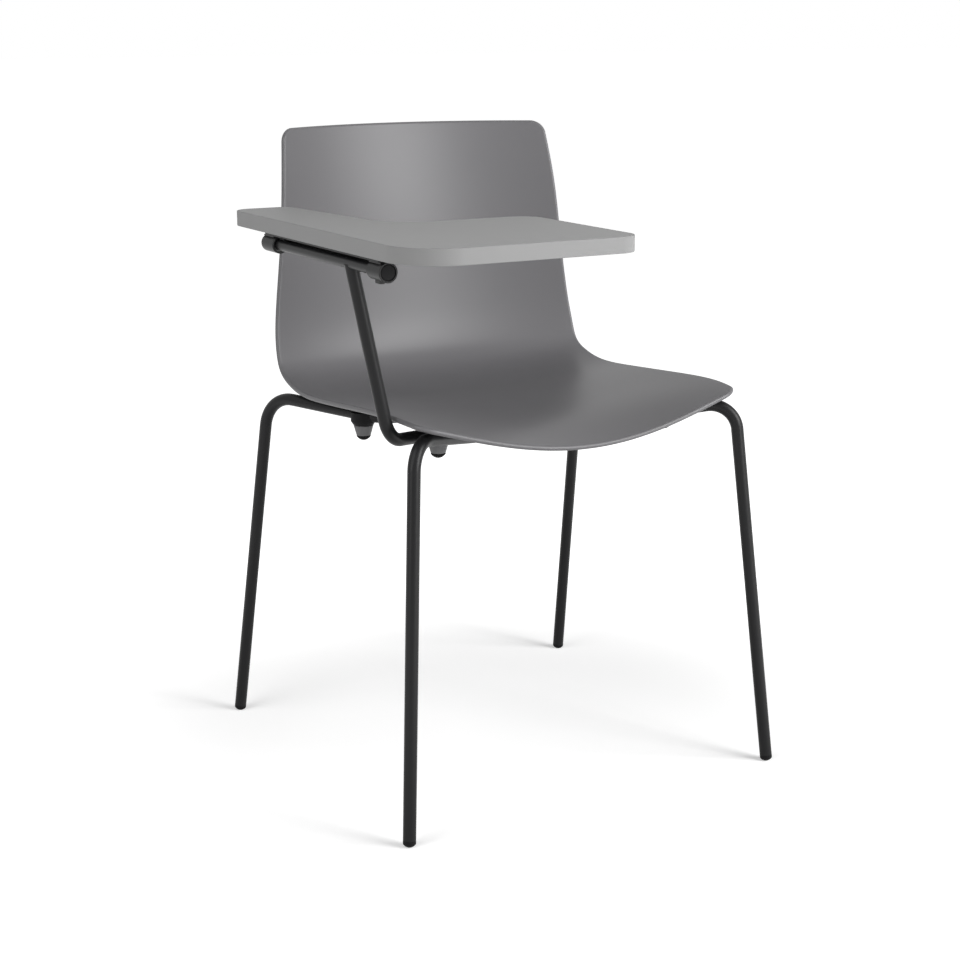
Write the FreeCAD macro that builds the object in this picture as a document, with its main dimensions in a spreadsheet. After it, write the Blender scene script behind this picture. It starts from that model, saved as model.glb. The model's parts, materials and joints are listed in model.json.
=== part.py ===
import FreeCAD, Part

import math
import os
from types import SimpleNamespace

# A one-piece moulded shell chair on a round tube frame with four legs.
# A writing tablet stands at the sitter's right on an arm tube and hinges up.
# Millimetres, +Z up, the front towards -Y and the sitter's right towards -X.
# Everything is placed from the floor point between the feet, and moved at the
# end so that the origin is the floor point under the middle of the whole chair.

LENGTHS = {
    # Leg frames
    "tube_diameter": 16.0,
    "tube_wall": 1.5,
    "foot_half_width": 266.9,
    "foot_half_depth": 259.2,
    "tube_end_height": 8.0,
    "cross_height": 454.5,
    "front_corner_x": 231.3,
    "front_corner_y": 212.9,
    "front_corner_rise": 27.3,
    "front_corner_bend": 34.5,
    "front_cross_x": 101.9,
    "front_cross_y": 122.2,
    "front_cross_bend": 70.0,
    "rear_corner_x": 245.8,
    "rear_corner_y": 176.4,
    "rear_corner_rise": 14.9,
    "rear_corner_bend": 49.5,
    "rear_elbow_x": 171.3,
    "rear_elbow_rise": 8.2,
    "rear_elbow_bend": 30.0,
    "rear_cross_x": 75.0,
    "rear_cross_y": 5.0,
    "rear_cross_bend": 60.0,
    # Spine bars under the cross tubes
    "bar_width": 25.0,
    "bar_thickness": 4.0,
    "bar_half_spacing": 48.0,
    "bar_overhang": 10.0,
    "bar_corner": 5.0,
    # Foot glides
    "glide_length": 8.6,
    "glide_dome_radius": 9.5,
    "plug_length": 16.0,
    "plug_gap": 0.2,
    # Moulded shell
    "shell_front": 237.0,
    "shell_depth": 495.0,
    "shell_clearance": 1.5,
    "shell_rise": 360.5,
    "shell_half_width": 238.0,
    "shell_thickness": 6.5,
    "front_corner_round": 28.0,
    "top_corner_round": 28.0,
    "boss_diameter": 12.0,
    # Bumpers and saddles under the shell
    "front_bumper_x": 166.0,
    "front_bumper_y": 150.0,
    "rear_bumper_x": 180.0,
    "rear_bumper_y": 25.0,
    "saddle_grip": 4.0,
    "saddle_gap": 0.2,
    "saddle_flare": 3.5,
    "saddle_flare_height": 5.0,
    "front_bumper_drop": 5.0,
    "rear_bumper_drop": 13.0,
    "bumper_top_diameter": 25.6,
    "bumper_end_diameter": 18.4,
    "bumper_height": 13.5,
    "tip_height": 6.5,
    "tip_dome_radius": 10.5,
    # Arm tube
    "arm_post_y": 168.0,
    "arm_corner_x": 241.1,
    "arm_corner_rise": 19.2,
    "arm_corner_bend": 35.0,
    "arm_cross_x": 99.5,
    "arm_cross_y": 79.5,
    "arm_cross_bend": 70.0,
    "arm_end_x": 68.0,
    "arm_plug_head": 2.0,
    "clamp_width": 20.0,
    "clamp_thickness": 1.5,
    "clamp_foot": 10.0,
    "clamp_gap": 0.2,
    # Hinge
    "hinge_x": 287.2,
    "rod_diameter": 13.0,
    "rod_bore": 9.0,
    "running_gap": 0.05,
    "weld_gap": 0.05,
    "bush_wall": 1.45,
    "bush_setback": 2.5,
    "knuckle_diameter": 21.3,
    "knuckle_length": 35.0,
    "knuckle_foot_width": 14.0,
    "front_knuckle_y": 262.0,
    "rear_knuckle_y": 64.0,
    "knuckle_ring_diameter": 23.3,
    "knuckle_ring_length": 4.0,
    "cap_diameter": 19.0,
    "cap_thickness": 2.0,
    "cap_inset": 0.5,
    "cap_gap": 0.1,
    "stop_tab_length": 12.0,
    "stop_tab_height": 3.6,
    "stop_tab_thickness": 6.0,
    "stop_tab_setback": 6.0,
    "plate_thickness": 3.0,
    "plate_width": 42.0,
    "plate_inset": 4.0,
    "plate_corner": 6.0,
    "plate_end_gap": 1.0,
    # Tablet
    "tablet_top_height": 719.3,
    "tablet_thickness": 19.0,
    "tablet_outer_x": 298.8,
    "tablet_inboard_x": 2.5,
    "tablet_front_y": 341.0,
    "tablet_rear_y": 157.0,
    "tablet_wide_rear_y": 93.0,
    "tablet_arm_rear_width": 80.0,
    "tablet_arm_front_width": 105.0,
    "tablet_front_outer_round": 64.0,
    "tablet_front_inboard_round": 14.0,
    "tablet_wide_rear_round": 30.0,
    "tablet_inner_round": 60.0,
    "tablet_rear_inner_round": 18.0,
    "tablet_rear_outer_round": 24.0,
    "laminate_thickness": 0.8,
    "band_thickness": 2.0,
    "glue_gap": 0.05,
    # Cutters reach this far past what they cut
    "overrun": 20.0,
}

# Stations of the shell from the front lip to the top edge. Each row holds the
# place of the middle and of the rim, as shares of the shell's depth and rise,
# the station's share of the half width, and how far the cross section bulges
# over a plain arc between the middle and the rim, as a share of its sag.
SHELL_STATION_SHARES = (
    ((0.000, 0.000), (0.032, 0.122), 0.958, 0.085),
    ((0.105, 0.033), (0.115, 0.129), 0.981, 0.060),
    ((0.317, 0.042), (0.317, 0.117), 0.990, 0.000),
    ((0.560, 0.036), (0.552, 0.092), 0.995, 0.000),
    ((0.762, 0.033), (0.717, 0.095), 0.986, 0.000),
    ((0.838, 0.054), (0.773, 0.116), 0.982, 0.000),
    ((0.893, 0.102), (0.809, 0.148), 0.977, 0.000),
    ((0.923, 0.180), (0.827, 0.206), 0.973, 0.000),
    ((0.939, 0.289), (0.841, 0.289), 0.961, 0.000),
    ((0.956, 0.567), (0.853, 0.567), 0.910, 0.000),
    ((0.975, 0.789), (0.867, 0.789), 0.877, 0.000),
    ((0.998, 1.000), (0.886, 1.002), 0.856, 0.000),
)
# How far the ends of a corner's rounding curve pull towards the corner
CORNER_PULL_SHARE = 0.55
# Numbers of points that the skins are drawn through, along and across the shell
SKIN_ROWS = 21
SKIN_COLUMNS = 9

UP = FreeCAD.Vector(0, 0, 1)
DOWN = FreeCAD.Vector(0, 0, -1)
LEFT = FreeCAD.Vector(1, 0, 0)
FRONT = FreeCAD.Vector(0, -1, 0)
BACK = FreeCAD.Vector(0, 1, 0)

doc = FreeCAD.newDocument("tablet_arm_chair")
sheet = doc.addObject("Spreadsheet::Sheet", "sizes")
for row, (alias, value) in enumerate(LENGTHS.items(), start=1):
    sheet.set(f"A{row}", alias)
    sheet.set(f"B{row}", str(value))
    sheet.setAlias(f"B{row}", alias)
doc.recompute()
s = SimpleNamespace(**{alias: sheet.get(alias) for alias in LENGTHS})
nodes = []


def vec(x, y, z):
    """A point or direction."""
    return FreeCAD.Vector(x, y, z)


def bind(item, **formulas):
    """Tie properties of a document object to formulas of the sheet's cells."""
    for name, formula in formulas.items():
        item.setExpression(name, formula)


def facing(start, direction):
    """A placement at a point, with local +Z turned to a direction."""
    return FreeCAD.Placement(start, FreeCAD.Rotation(UP, direction))


def node(item, label):
    """Name a finished sub-part and keep it for export."""
    item.Label = label
    nodes.append(item)
    return item


def cylinder(name, radius, height, start, direction=UP):
    """A cylinder whose radius is a formula, and whose height is one or a worked-out length."""
    item = doc.addObject("Part::Cylinder", name)
    bind(item, Radius=radius)
    if isinstance(height, str):
        bind(item, Height=height)
    else:
        item.Height = height
    item.Placement = facing(start, direction)
    return item


def cone(name, radius, end_radius, height, start, direction=UP):
    """A cone from one radius to another along a direction."""
    item = doc.addObject("Part::Cone", name)
    bind(item, Radius1=radius, Radius2=end_radius, Height=height)
    item.Placement = facing(start, direction)
    return item


def box(name, low, length, width, height):
    """A box from its lowest corner, with formulas for its sides along X, Y and Z."""
    item = doc.addObject("Part::Box", name)
    bind(item, Length=length, Width=width, Height=height)
    item.Placement.Base = low
    return item


def fuse(name, *shapes):
    """Several shapes as one."""
    item = doc.addObject("Part::MultiFuse", name)
    item.Shapes = list(shapes)
    return item


def cut(name, base, *tools):
    """A shape with one or more others taken away."""
    item = doc.addObject("Part::Cut", name)
    item.Base = base
    item.Tool = tools[0] if len(tools) == 1 else fuse(name + "_tools", *tools)
    return item


def domed(name, radius, height, ball_radius, start, direction):
    """A cylinder whose far end is the cap of a ball."""
    stub = cylinder(name + "_stub", radius, f"sizes.{height}", start, direction)
    ball = doc.addObject("Part::Sphere", name + "_ball")
    bind(ball, Radius=f"sizes.{ball_radius}")
    centre = start + direction * (sheet.get(height) - sheet.get(ball_radius))
    ball.Placement = facing(centre, direction)
    item = doc.addObject("Part::Common", name)
    item.Base = stub
    item.Tool = ball
    return item


def rounded(points, radii):
    """A closed outline of lines and tangent arcs round its corners."""
    count = len(points)
    ends = []
    for index, (corner, radius) in enumerate(zip(points, radii)):
        before = (points[index - 1] - corner).normalize()
        after = (points[(index + 1) % count] - corner).normalize()
        half = before.getAngle(after) / 2
        reach = radius / math.tan(half)
        sagitta = radius / math.sin(half) - radius
        middle = corner + (before + after).normalize() * sagitta
        ends.append((corner + before * reach, middle, corner + after * reach))
    curves = []
    for index, (first, middle, last) in enumerate(ends):
        if radii[index] > 0:
            curves.append(Part.Arc(first, middle, last))
        curves.append(Part.LineSegment(last, ends[(index + 1) % count][0]))
    return curves


def inset(points, radii, distance):
    """An anticlockwise outline moved inwards by a distance."""
    count = len(points)
    moved, curved = [], []
    for index, (corner, radius) in enumerate(zip(points, radii)):
        along = (corner - points[index - 1]).normalize()
        onward = (points[(index + 1) % count] - corner).normalize()
        turn = along.cross(onward).z
        inward = UP.cross(along) + UP.cross(onward)
        moved.append(corner + inward * (distance / (1 + along.dot(onward))))
        curved.append(radius - distance if turn > 0 else radius + distance)
    return moved, curved


def padded(name, plane, outlines, length, placement):
    """A body padded from closed outlines on one of its origin planes."""
    body = doc.addObject("PartDesign::Body", name)
    sketch = body.newObject("Sketcher::SketchObject", name + "_outline")
    support = [item for item in body.Origin.OriginFeatures if item.Role == plane]
    sketch.AttachmentSupport = (support[0], [""])
    sketch.MapMode = "FlatFace"
    for outline in outlines:
        sketch.addGeometry(outline, False)
    pad = body.newObject("PartDesign::Pad", name + "_pad")
    pad.Profile = sketch
    bind(pad, Length=length)
    body.Placement = placement
    doc.recompute()
    return body


def route(name, points, radii):
    """A wire of straight runs joined by tangent arcs."""
    edges = []
    start = points[0]
    for index, radius in enumerate(radii, start=1):
        corner = points[index]
        before = (points[index - 1] - corner).normalize()
        after = (points[index + 1] - corner).normalize()
        half = before.getAngle(after) / 2
        reach = radius / math.tan(half)
        sagitta = radius / math.sin(half) - radius
        middle = corner + (before + after).normalize() * sagitta
        edges.append(Part.LineSegment(start, corner + before * reach).toShape())
        edges.append(Part.Arc(corner + before * reach, middle, corner + after * reach).toShape())
        start = corner + after * reach
    edges.append(Part.LineSegment(start, points[-1]).toShape())
    item = doc.addObject("Part::Feature", name)
    item.Shape = Part.Wire(edges)
    return item


def swept(name, spine, points, radius):
    """A round bar along a wire."""
    section = doc.addObject("Part::Circle", name + "_section")
    bind(section, Radius=radius)
    section.Placement = facing(points[0], points[1] - points[0])
    item = doc.addObject("Part::Sweep", name)
    item.Sections = [section]
    item.Spine = (spine, [f"Edge{index + 1}" for index in range(len(spine.Shape.Edges))])
    item.Solid = True
    return item


def tube(name, spine, points, plug_ends):
    """A round tube along a bent route, bored as far as its plugged ends run straight."""
    outside = swept(name + "_outside", spine, points, "sizes.tube_diameter / 2")
    bores = []
    for index, (end, inward, radius) in enumerate(plug_ends, start=1):
        bore = cylinder(
            f"{name}_bore_{index}",
            "sizes.tube_diameter / 2 - sizes.tube_wall",
            (inward - end).Length - 2 * radius,
            end,
            inward - end,
        )
        bores.append(bore)
    return cut(name, outside, *bores)


def mirrored(points):
    """The same points on the other side of the chair, in reverse order."""
    return [vec(-point.x, point.y, point.z) for point in reversed(points)]


def along(start, end, share):
    """The point at a share of the way from one point to another."""
    return start + (end - start) * share


def height_on(start, end, y):
    """The height at which the line between two points passes a depth."""
    return along(start, end, (y - start.y) / (end.y - start.y)).z


# Leg frames: each is one bent tube from foot to foot
tube_radius = s.tube_diameter / 2
front_half = [
    vec(-s.foot_half_width, -s.foot_half_depth, s.tube_end_height),
    vec(-s.front_corner_x, -s.front_corner_y, s.cross_height + s.front_corner_rise),
    vec(-s.front_cross_x, -s.front_cross_y, s.cross_height),
]
rear_half = [
    vec(-s.foot_half_width, s.foot_half_depth, s.tube_end_height),
    vec(-s.rear_corner_x, s.rear_corner_y, s.cross_height + s.rear_corner_rise),
    vec(-s.rear_elbow_x, s.rear_cross_y, s.cross_height + s.rear_elbow_rise),
    vec(-s.rear_cross_x, s.rear_cross_y, s.cross_height),
]
front_bends = [s.front_corner_bend, s.front_cross_bend]
rear_bends = [s.rear_corner_bend, s.rear_elbow_bend, s.rear_cross_bend]
frame_tubes = {}
clearances = {}
for end, half, bends in (("front", front_half, front_bends), ("rear", rear_half, rear_bends)):
    points = half + mirrored(half)
    plug_ends = [(points[0], points[1], bends[0]), (points[-1], points[-2], bends[0])]
    spine = route(f"{end}_route", points, bends + bends[::-1])
    frame_tubes[end] = tube(f"{end}_tube", spine, points, plug_ends)
    # What sits on a frame is cut to its route with a small gap
    clearances[end] = swept(
        f"{end}_clearance", spine, points, "sizes.tube_diameter / 2 + sizes.saddle_gap"
    )

# Shell: one wall between two smooth skins, whose cross sections are shallow arcs
shell_base = s.cross_height + s.shell_clearance


def shell_place(shares):
    """A point of the middle plane from shares of the shell's depth and rise."""
    depth_share, rise_share = shares
    return vec(
        0,
        depth_share * s.shell_depth - s.shell_front,
        rise_share * s.shell_rise + shell_base,
    )


def guide(points, stations):
    """A smooth curve that passes each point at its station."""
    curve = Part.BSplineCurve()
    curve.interpolate(Points=points, Parameters=stations)
    return curve


def section_points(middle, rim, half_width, bulge_share):
    """Points of one cross section: an arc through the rims and the middle, with its bulge."""
    rise = rim - middle
    sag = rise.Length
    radius = (half_width ** 2 + sag ** 2) / (2 * sag)
    towards = rise.normalize()
    centre = middle + towards * radius
    end_angle = math.asin(half_width / radius)
    points = []
    for column in range(SKIN_COLUMNS):
        share = 2 * column / (SKIN_COLUMNS - 1) - 1
        ray = LEFT * math.sin(end_angle * share) - towards * math.cos(end_angle * share)
        # The bulge is nothing at the middle and the rims, and whole between them
        bulge = towards * (4 * share ** 2 * (1 - share ** 2) * bulge_share * sag)
        points.append(centre + ray * radius + bulge)
    return points


middles = [shell_place(row[0]) for row in SHELL_STATION_SHARES]
rims = [shell_place(row[1]) for row in SHELL_STATION_SHARES]
# The half width goes with X and the bulge with Y
forms = [vec(row[2] * s.shell_half_width, row[3], 0) for row in SHELL_STATION_SHARES]
lengths = [0]
for before, after in zip(middles, middles[1:]):
    lengths.append(lengths[-1] + (after - before).Length)
stations = [length / lengths[-1] for length in lengths]
middle_guide = guide(middles, stations)
rim_guide = guide(rims, stations)
form_guide = guide(forms, stations)


def smooth_surface(grid):
    """A smooth surface through a grid of points."""
    surface = Part.BSplineSurface()
    surface.interpolate(grid)
    return surface


def through_wall(surface, point):
    """The direction from a point of the sitting side straight to the hidden side."""
    normal = surface.normal(*surface.parameter(point))
    return normal if normal.dot(BACK + DOWN) > 0 else -normal


def surface_edges(surface):
    """The four edges of a surface, in one order."""
    first_row, last_row, first_column, last_column = surface.bounds()
    return [
        surface.uIso(first_row).toShape(),
        surface.uIso(last_row).toShape(),
        surface.vIso(first_column).toShape(),
        surface.vIso(last_column).toShape(),
    ]


sitting_grid = []
for row in range(SKIN_ROWS):
    share = row / (SKIN_ROWS - 1)
    form = form_guide.value(share)
    sitting_grid.append(
        section_points(middle_guide.value(share), rim_guide.value(share), form.x, form.y)
    )
sitting_side = smooth_surface(sitting_grid)
hidden_grid = []
for section in sitting_grid:
    hidden_grid.append(
        [point + through_wall(sitting_side, point) * s.shell_thickness for point in section]
    )
hidden_side = smooth_surface(hidden_grid)
walls = [sitting_side.toShape(), hidden_side.toShape()]
for inner_edge, outer_edge in zip(surface_edges(sitting_side), surface_edges(hidden_side)):
    walls.append(Part.makeRuledSurface(inner_edge, outer_edge))
closed = Part.makeShell(walls)
closed.sewShape()
skin = doc.addObject("Part::Feature", "shell_skin")
skin.Shape = Part.makeSolid(closed)


def underside(x, y):
    """The height of the shell's underside over a point of the floor."""
    ray = Part.makeLine(vec(x, y, 0), vec(x, y, shell_base + s.shell_rise / 2))
    return ray.common(skin.Shape).BoundBox.ZMin


def rim_point(share, side):
    """The point of a side rim at a share of the way from the lip to the top."""
    point = rim_guide.value(share)
    return vec(side * form_guide.value(share).x, point.y, point.z)


def corner_cutter(name, ends, side, outward):
    """What lies outside a corner that is rounded between a point of the rim and one of the edge."""
    through = through_wall(sitting_side, ends[1])

    def flat(vector):
        """A vector laid into the plane that the cutter grows from."""
        return vector - through * vector.dot(through)

    start = ends[1] - through * s.overrun
    rim_end, corner, edge_end = [start + flat(point - start) for point in ends]
    rounding = Part.BezierCurve()
    rounding.setPoles(
        [
            edge_end,
            edge_end + (corner - edge_end) * CORNER_PULL_SHARE,
            rim_end + (corner - rim_end) * CORNER_PULL_SHARE,
            rim_end,
        ]
    )
    sideways = flat(LEFT * side * s.overrun)
    away = flat(outward * s.overrun)
    path = [rim_end, rim_end + sideways, corner + sideways + away, edge_end + away, edge_end]
    edges = [Part.makeLine(first, last) for first, last in zip(path, path[1:])]
    face = doc.addObject("Part::Feature", name + "_face")
    face.Shape = Part.Face(Part.Wire(edges + [rounding.toShape()]))
    item = doc.addObject("Part::Extrusion", name)
    item.Base = face
    item.DirMode = "Custom"
    item.Dir = through
    item.Solid = True
    bind(item, LengthFwd="2 * sizes.overrun + sizes.shell_thickness")
    return item


def edge_point(section, side, distance):
    """The point of an end cross section at a distance from one of its rims."""
    edge = Part.BSplineCurve()
    edge.interpolate(section[::side])
    return edge.value(edge.parameterAtDistance(edge.length() - distance))


corner_cutters = []
for side, hand in ((-1, "right"), (1, "left")):
    lip_ends = [
        rim_point(s.front_corner_round / lengths[-1], side),
        rim_point(0, side),
        edge_point(sitting_grid[0], side, s.front_corner_round),
    ]
    top_ends = [
        rim_point(1 - s.top_corner_round / lengths[-1], side),
        rim_point(1, side),
        edge_point(sitting_grid[-1], side, s.top_corner_round),
    ]
    corner_cutters.append(corner_cutter(f"front_corner_{hand}", lip_ends, side, FRONT))
    corner_cutters.append(corner_cutter(f"top_corner_{hand}", top_ends, side, UP))
trimmed = cut("trimmed_skin", skin, *corner_cutters)

# Bumper stations: where each bumper stands and what it holds
front_run = (front_half[1], front_half[2])
rear_run = (rear_half[1], rear_half[2])
bumpers = []
for hand, side in (("right", -1), ("left", 1)):
    # The front bumper stands behind its run, so its height is taken at the nearest point
    run_way = (front_run[1] - front_run[0]).normalize()
    offset = vec(-s.front_bumper_x, -s.front_bumper_y, front_run[0].z) - front_run[0]
    reach = (offset.x * run_way.x + offset.y * run_way.y) / (run_way.x ** 2 + run_way.y ** 2)
    bumpers.append(
        SimpleNamespace(
            name="front_" + hand,
            x=side * s.front_bumper_x,
            y=-s.front_bumper_y,
            tube_z=(front_run[0] + run_way * reach).z,
            drop_name="front_bumper_drop",
            drop=s.front_bumper_drop,
            frame="front",
        )
    )
    bumpers.append(
        SimpleNamespace(
            name="rear_" + hand,
            x=side * s.rear_bumper_x,
            y=s.rear_bumper_y,
            tube_z=height_on(rear_run[0], rear_run[1], s.rear_bumper_y),
            drop_name="rear_bumper_drop",
            drop=s.rear_bumper_drop,
            frame="rear",
        )
    )
bosses = []
for station in bumpers:
    bottom = vec(station.x, station.y, station.tube_z + s.saddle_grip)
    boss_height = underside(station.x, station.y) + s.shell_thickness / 2 - bottom.z
    bosses.append(cylinder(f"boss_{station.name}", "sizes.boss_diameter / 2", boss_height, bottom))
bossed = fuse("shell_with_bosses", trimmed, *bosses)
node(cut("shell_on_frames", bossed, *clearances.values()), "seat_shell")

# Saddles that seat the shell's bosses on the frame, with bumpers and rubber tips below
for station in bumpers:
    grey_top = vec(station.x, station.y, station.tube_z - station.drop)
    flare = cone(
        f"saddle_flare_{station.name}",
        "sizes.bumper_top_diameter / 2",
        "sizes.bumper_top_diameter / 2 + sizes.saddle_flare",
        "sizes.saddle_flare_height",
        grey_top,
    )
    collar = cylinder(
        f"saddle_collar_{station.name}",
        "sizes.bumper_top_diameter / 2 + sizes.saddle_flare",
        f"sizes.{station.drop_name} + sizes.saddle_grip - sizes.saddle_flare_height",
        grey_top + UP * s.saddle_flare_height,
    )
    saddle_form = fuse(f"saddle_form_{station.name}", flare, collar)
    clearance = clearances[station.frame]
    node(cut(f"saddle_{station.name}", saddle_form, clearance), f"saddle_{station.name}")

    grey = cone(
        f"bumper_form_{station.name}",
        "sizes.bumper_end_diameter / 2",
        "sizes.bumper_top_diameter / 2",
        "sizes.bumper_height",
        grey_top + DOWN * s.bumper_height,
    )
    node(cut(f"bumper_{station.name}", grey, clearance), f"bumper_{station.name}")
    tip = domed(
        f"bumper_tip_{station.name}",
        "sizes.bumper_end_diameter / 2",
        "tip_height",
        "tip_dome_radius",
        grey_top + DOWN * s.bumper_height,
        DOWN,
    )
    node(tip, f"bumper_tip_{station.name}")
node(frame_tubes["front"], "front_leg_frame")
node(frame_tubes["rear"], "rear_leg_frame")

# Foot glides: a rounded end on each leg, flat where it meets the floor
floor_block = box(
    "floor_block",
    vec(-s.foot_half_width, -s.foot_half_depth, -s.tube_diameter) * 2,
    "4 * sizes.foot_half_width",
    "4 * sizes.foot_half_depth",
    "2 * sizes.tube_diameter",
)
for end, half in (("front", front_half), ("rear", rear_half)):
    for hand, side in (("right", 1), ("left", -1)):
        name = f"{end}_{hand}"
        foot = vec(half[0].x * side, half[0].y, half[0].z)
        knee = vec(half[1].x * side, half[1].y, half[1].z)
        way = (foot - knee).normalize()
        dome = domed(
            f"glide_dome_{name}",
            "sizes.tube_diameter / 2",
            "glide_length",
            "glide_dome_radius",
            foot,
            way,
        )
        plug = cylinder(
            f"glide_plug_{name}",
            "sizes.tube_diameter / 2 - sizes.tube_wall - sizes.plug_gap",
            "sizes.plug_length + sizes.glide_length / 2",
            foot - way * s.plug_length,
            way,
        )
        glide = cut(f"foot_glide_{name}", fuse(f"glide_{name}", dome, plug), floor_block)
        node(glide, f"foot_glide_{name}")

# Spine bars: flat steel under both cross tubes
bar_top = s.cross_height - tube_radius
bar_front = -s.front_cross_y - s.bar_overhang
bar_rear = s.rear_cross_y + s.bar_overhang
for hand, side in (("right", -1), ("left", 1)):
    middle_x = side * s.bar_half_spacing
    half_width = s.bar_width / 2
    corners = [
        vec(-half_width, bar_front, 0),
        vec(half_width, bar_front, 0),
        vec(half_width, bar_rear, 0),
        vec(-half_width, bar_rear, 0),
    ]
    bar = padded(
        f"bar_{hand}",
        "XY_Plane",
        [rounded(corners, [s.bar_corner] * 4)],
        "sizes.bar_thickness",
        FreeCAD.Placement(vec(middle_x, 0, bar_top - s.bar_thickness), FreeCAD.Rotation()),
    )
    node(bar, f"spine_bar_{hand}")

    # Clamp: a strap over the arm tube, screwed down to the bar
    inner = tube_radius + s.clamp_gap
    outer = inner + s.clamp_thickness
    foot_end = outer + s.clamp_foot
    axis_height = tube_radius
    strap = [
        Part.LineSegment(vec(-foot_end, 0, 0), vec(-inner, 0, 0)),
        Part.LineSegment(vec(-inner, 0, 0), vec(-inner, axis_height, 0)),
        Part.Arc(
            vec(-inner, axis_height, 0),
            vec(0, axis_height + inner, 0),
            vec(inner, axis_height, 0),
        ),
        Part.LineSegment(vec(inner, axis_height, 0), vec(inner, 0, 0)),
        Part.LineSegment(vec(inner, 0, 0), vec(foot_end, 0, 0)),
        Part.LineSegment(vec(foot_end, 0, 0), vec(foot_end, s.clamp_thickness, 0)),
        Part.LineSegment(vec(foot_end, s.clamp_thickness, 0), vec(outer, s.clamp_thickness, 0)),
        Part.LineSegment(vec(outer, s.clamp_thickness, 0), vec(outer, axis_height, 0)),
        Part.Arc(
            vec(outer, axis_height, 0),
            vec(0, axis_height + outer, 0),
            vec(-outer, axis_height, 0),
        ),
        Part.LineSegment(vec(-outer, axis_height, 0), vec(-outer, s.clamp_thickness, 0)),
        Part.LineSegment(vec(-outer, s.clamp_thickness, 0), vec(-foot_end, s.clamp_thickness, 0)),
        Part.LineSegment(vec(-foot_end, s.clamp_thickness, 0), vec(-foot_end, 0, 0)),
    ]
    clamp = padded(
        f"clamp_{hand}",
        "YZ_Plane",
        [strap],
        "sizes.clamp_width",
        FreeCAD.Placement(
            vec(middle_x - s.clamp_width / 2, -s.arm_cross_y, bar_top), FreeCAD.Rotation()
        ),
    )
    node(clamp, f"arm_clamp_{hand}")

# Arm tube: from the hinge rod down past the shell's rim and in under the seat
underside_height = s.tablet_top_height - s.tablet_thickness
plate_bottom = underside_height - s.plate_thickness
hinge_height = plate_bottom - s.weld_gap - s.knuckle_diameter / 2
hinge = vec(-s.hinge_x, -s.arm_post_y, hinge_height)
arm_points = [
    hinge,
    vec(-s.arm_corner_x, -s.arm_post_y, s.cross_height + s.arm_corner_rise),
    vec(-s.arm_cross_x, -s.arm_cross_y, s.cross_height),
    vec(s.arm_end_x, -s.arm_cross_y, s.cross_height),
]
arm_bends = [s.arm_corner_bend, s.arm_cross_bend]
arm_spine = route("arm_route", arm_points, arm_bends)
arm_plug_ends = [(arm_points[-1], arm_points[-2], arm_bends[-1])]
arm = tube("arm_bent_tube", arm_spine, arm_points, arm_plug_ends)
rod_front = vec(-s.hinge_x, -s.front_knuckle_y + s.cap_thickness + 2 * s.cap_inset, hinge_height)
cope = cylinder(
    "arm_cope",
    "sizes.rod_diameter / 2 + sizes.weld_gap",
    "sizes.tube_diameter * 3",
    hinge - BACK * s.tube_diameter * 1.5,
    BACK,
)
node(cut("arm_tube", arm, cope), "arm_tube")
rod_length = "sizes.front_knuckle_y + sizes.rear_knuckle_y - 2 * sizes.cap_thickness - 4 * sizes.cap_inset"
rod_bar = cylinder("rod_bar", "sizes.rod_diameter / 2", rod_length, rod_front, BACK)
rod_core = cylinder("rod_core", "sizes.rod_bore / 2", rod_length, rod_front, BACK)
node(cut("hinge_rod", rod_bar, rod_core), "hinge_rod")
arm_end = arm_points[-1]
plug_head = cylinder("arm_plug_head", "sizes.tube_diameter / 2", "sizes.arm_plug_head", arm_end, LEFT)
plug_stem = cylinder(
    "arm_plug_stem",
    "sizes.tube_diameter / 2 - sizes.tube_wall - sizes.plug_gap",
    "sizes.plug_length + sizes.arm_plug_head / 2",
    arm_end - LEFT * s.plug_length,
    LEFT,
)
node(fuse("arm_tube_plug", plug_head, plug_stem), "arm_tube_plug")

# Tablet: board with laminate faces and an edge band round its outline
outer_x = -s.tablet_outer_x
outline = [
    vec(outer_x, -s.tablet_front_y, 0),
    vec(-s.tablet_inboard_x, -s.tablet_front_y, 0),
    vec(-s.tablet_inboard_x, -s.tablet_wide_rear_y, 0),
    vec(outer_x + s.tablet_arm_front_width, -s.tablet_wide_rear_y, 0),
    vec(outer_x + s.tablet_arm_rear_width, s.tablet_rear_y, 0),
    vec(outer_x, s.tablet_rear_y, 0),
]
outline_radii = [
    s.tablet_front_outer_round,
    s.tablet_front_inboard_round,
    s.tablet_wide_rear_round,
    s.tablet_inner_round,
    s.tablet_rear_inner_round,
    s.tablet_rear_outer_round,
]
band_inner = rounded(*inset(outline, outline_radii, s.band_thickness))
board = rounded(*inset(outline, outline_radii, s.band_thickness + s.glue_gap))


def level(height):
    """A placement that only lifts."""
    return FreeCAD.Placement(vec(0, 0, height), FreeCAD.Rotation())


node(
    padded(
        "edge_band",
        "XY_Plane",
        [rounded(outline, outline_radii), band_inner],
        "sizes.tablet_thickness",
        level(underside_height),
    ),
    "tablet_edge_band",
)
core = padded(
    "board_core",
    "XY_Plane",
    [board],
    "sizes.tablet_thickness - 2 * sizes.laminate_thickness",
    level(underside_height + s.laminate_thickness),
)
top_face = padded(
    "board_top",
    "XY_Plane",
    [board],
    "sizes.laminate_thickness",
    level(s.tablet_top_height - s.laminate_thickness),
)
under_face = padded(
    "board_underside", "XY_Plane", [board], "sizes.laminate_thickness", level(underside_height)
)
node(top_face, "tablet_top_laminate")

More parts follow.
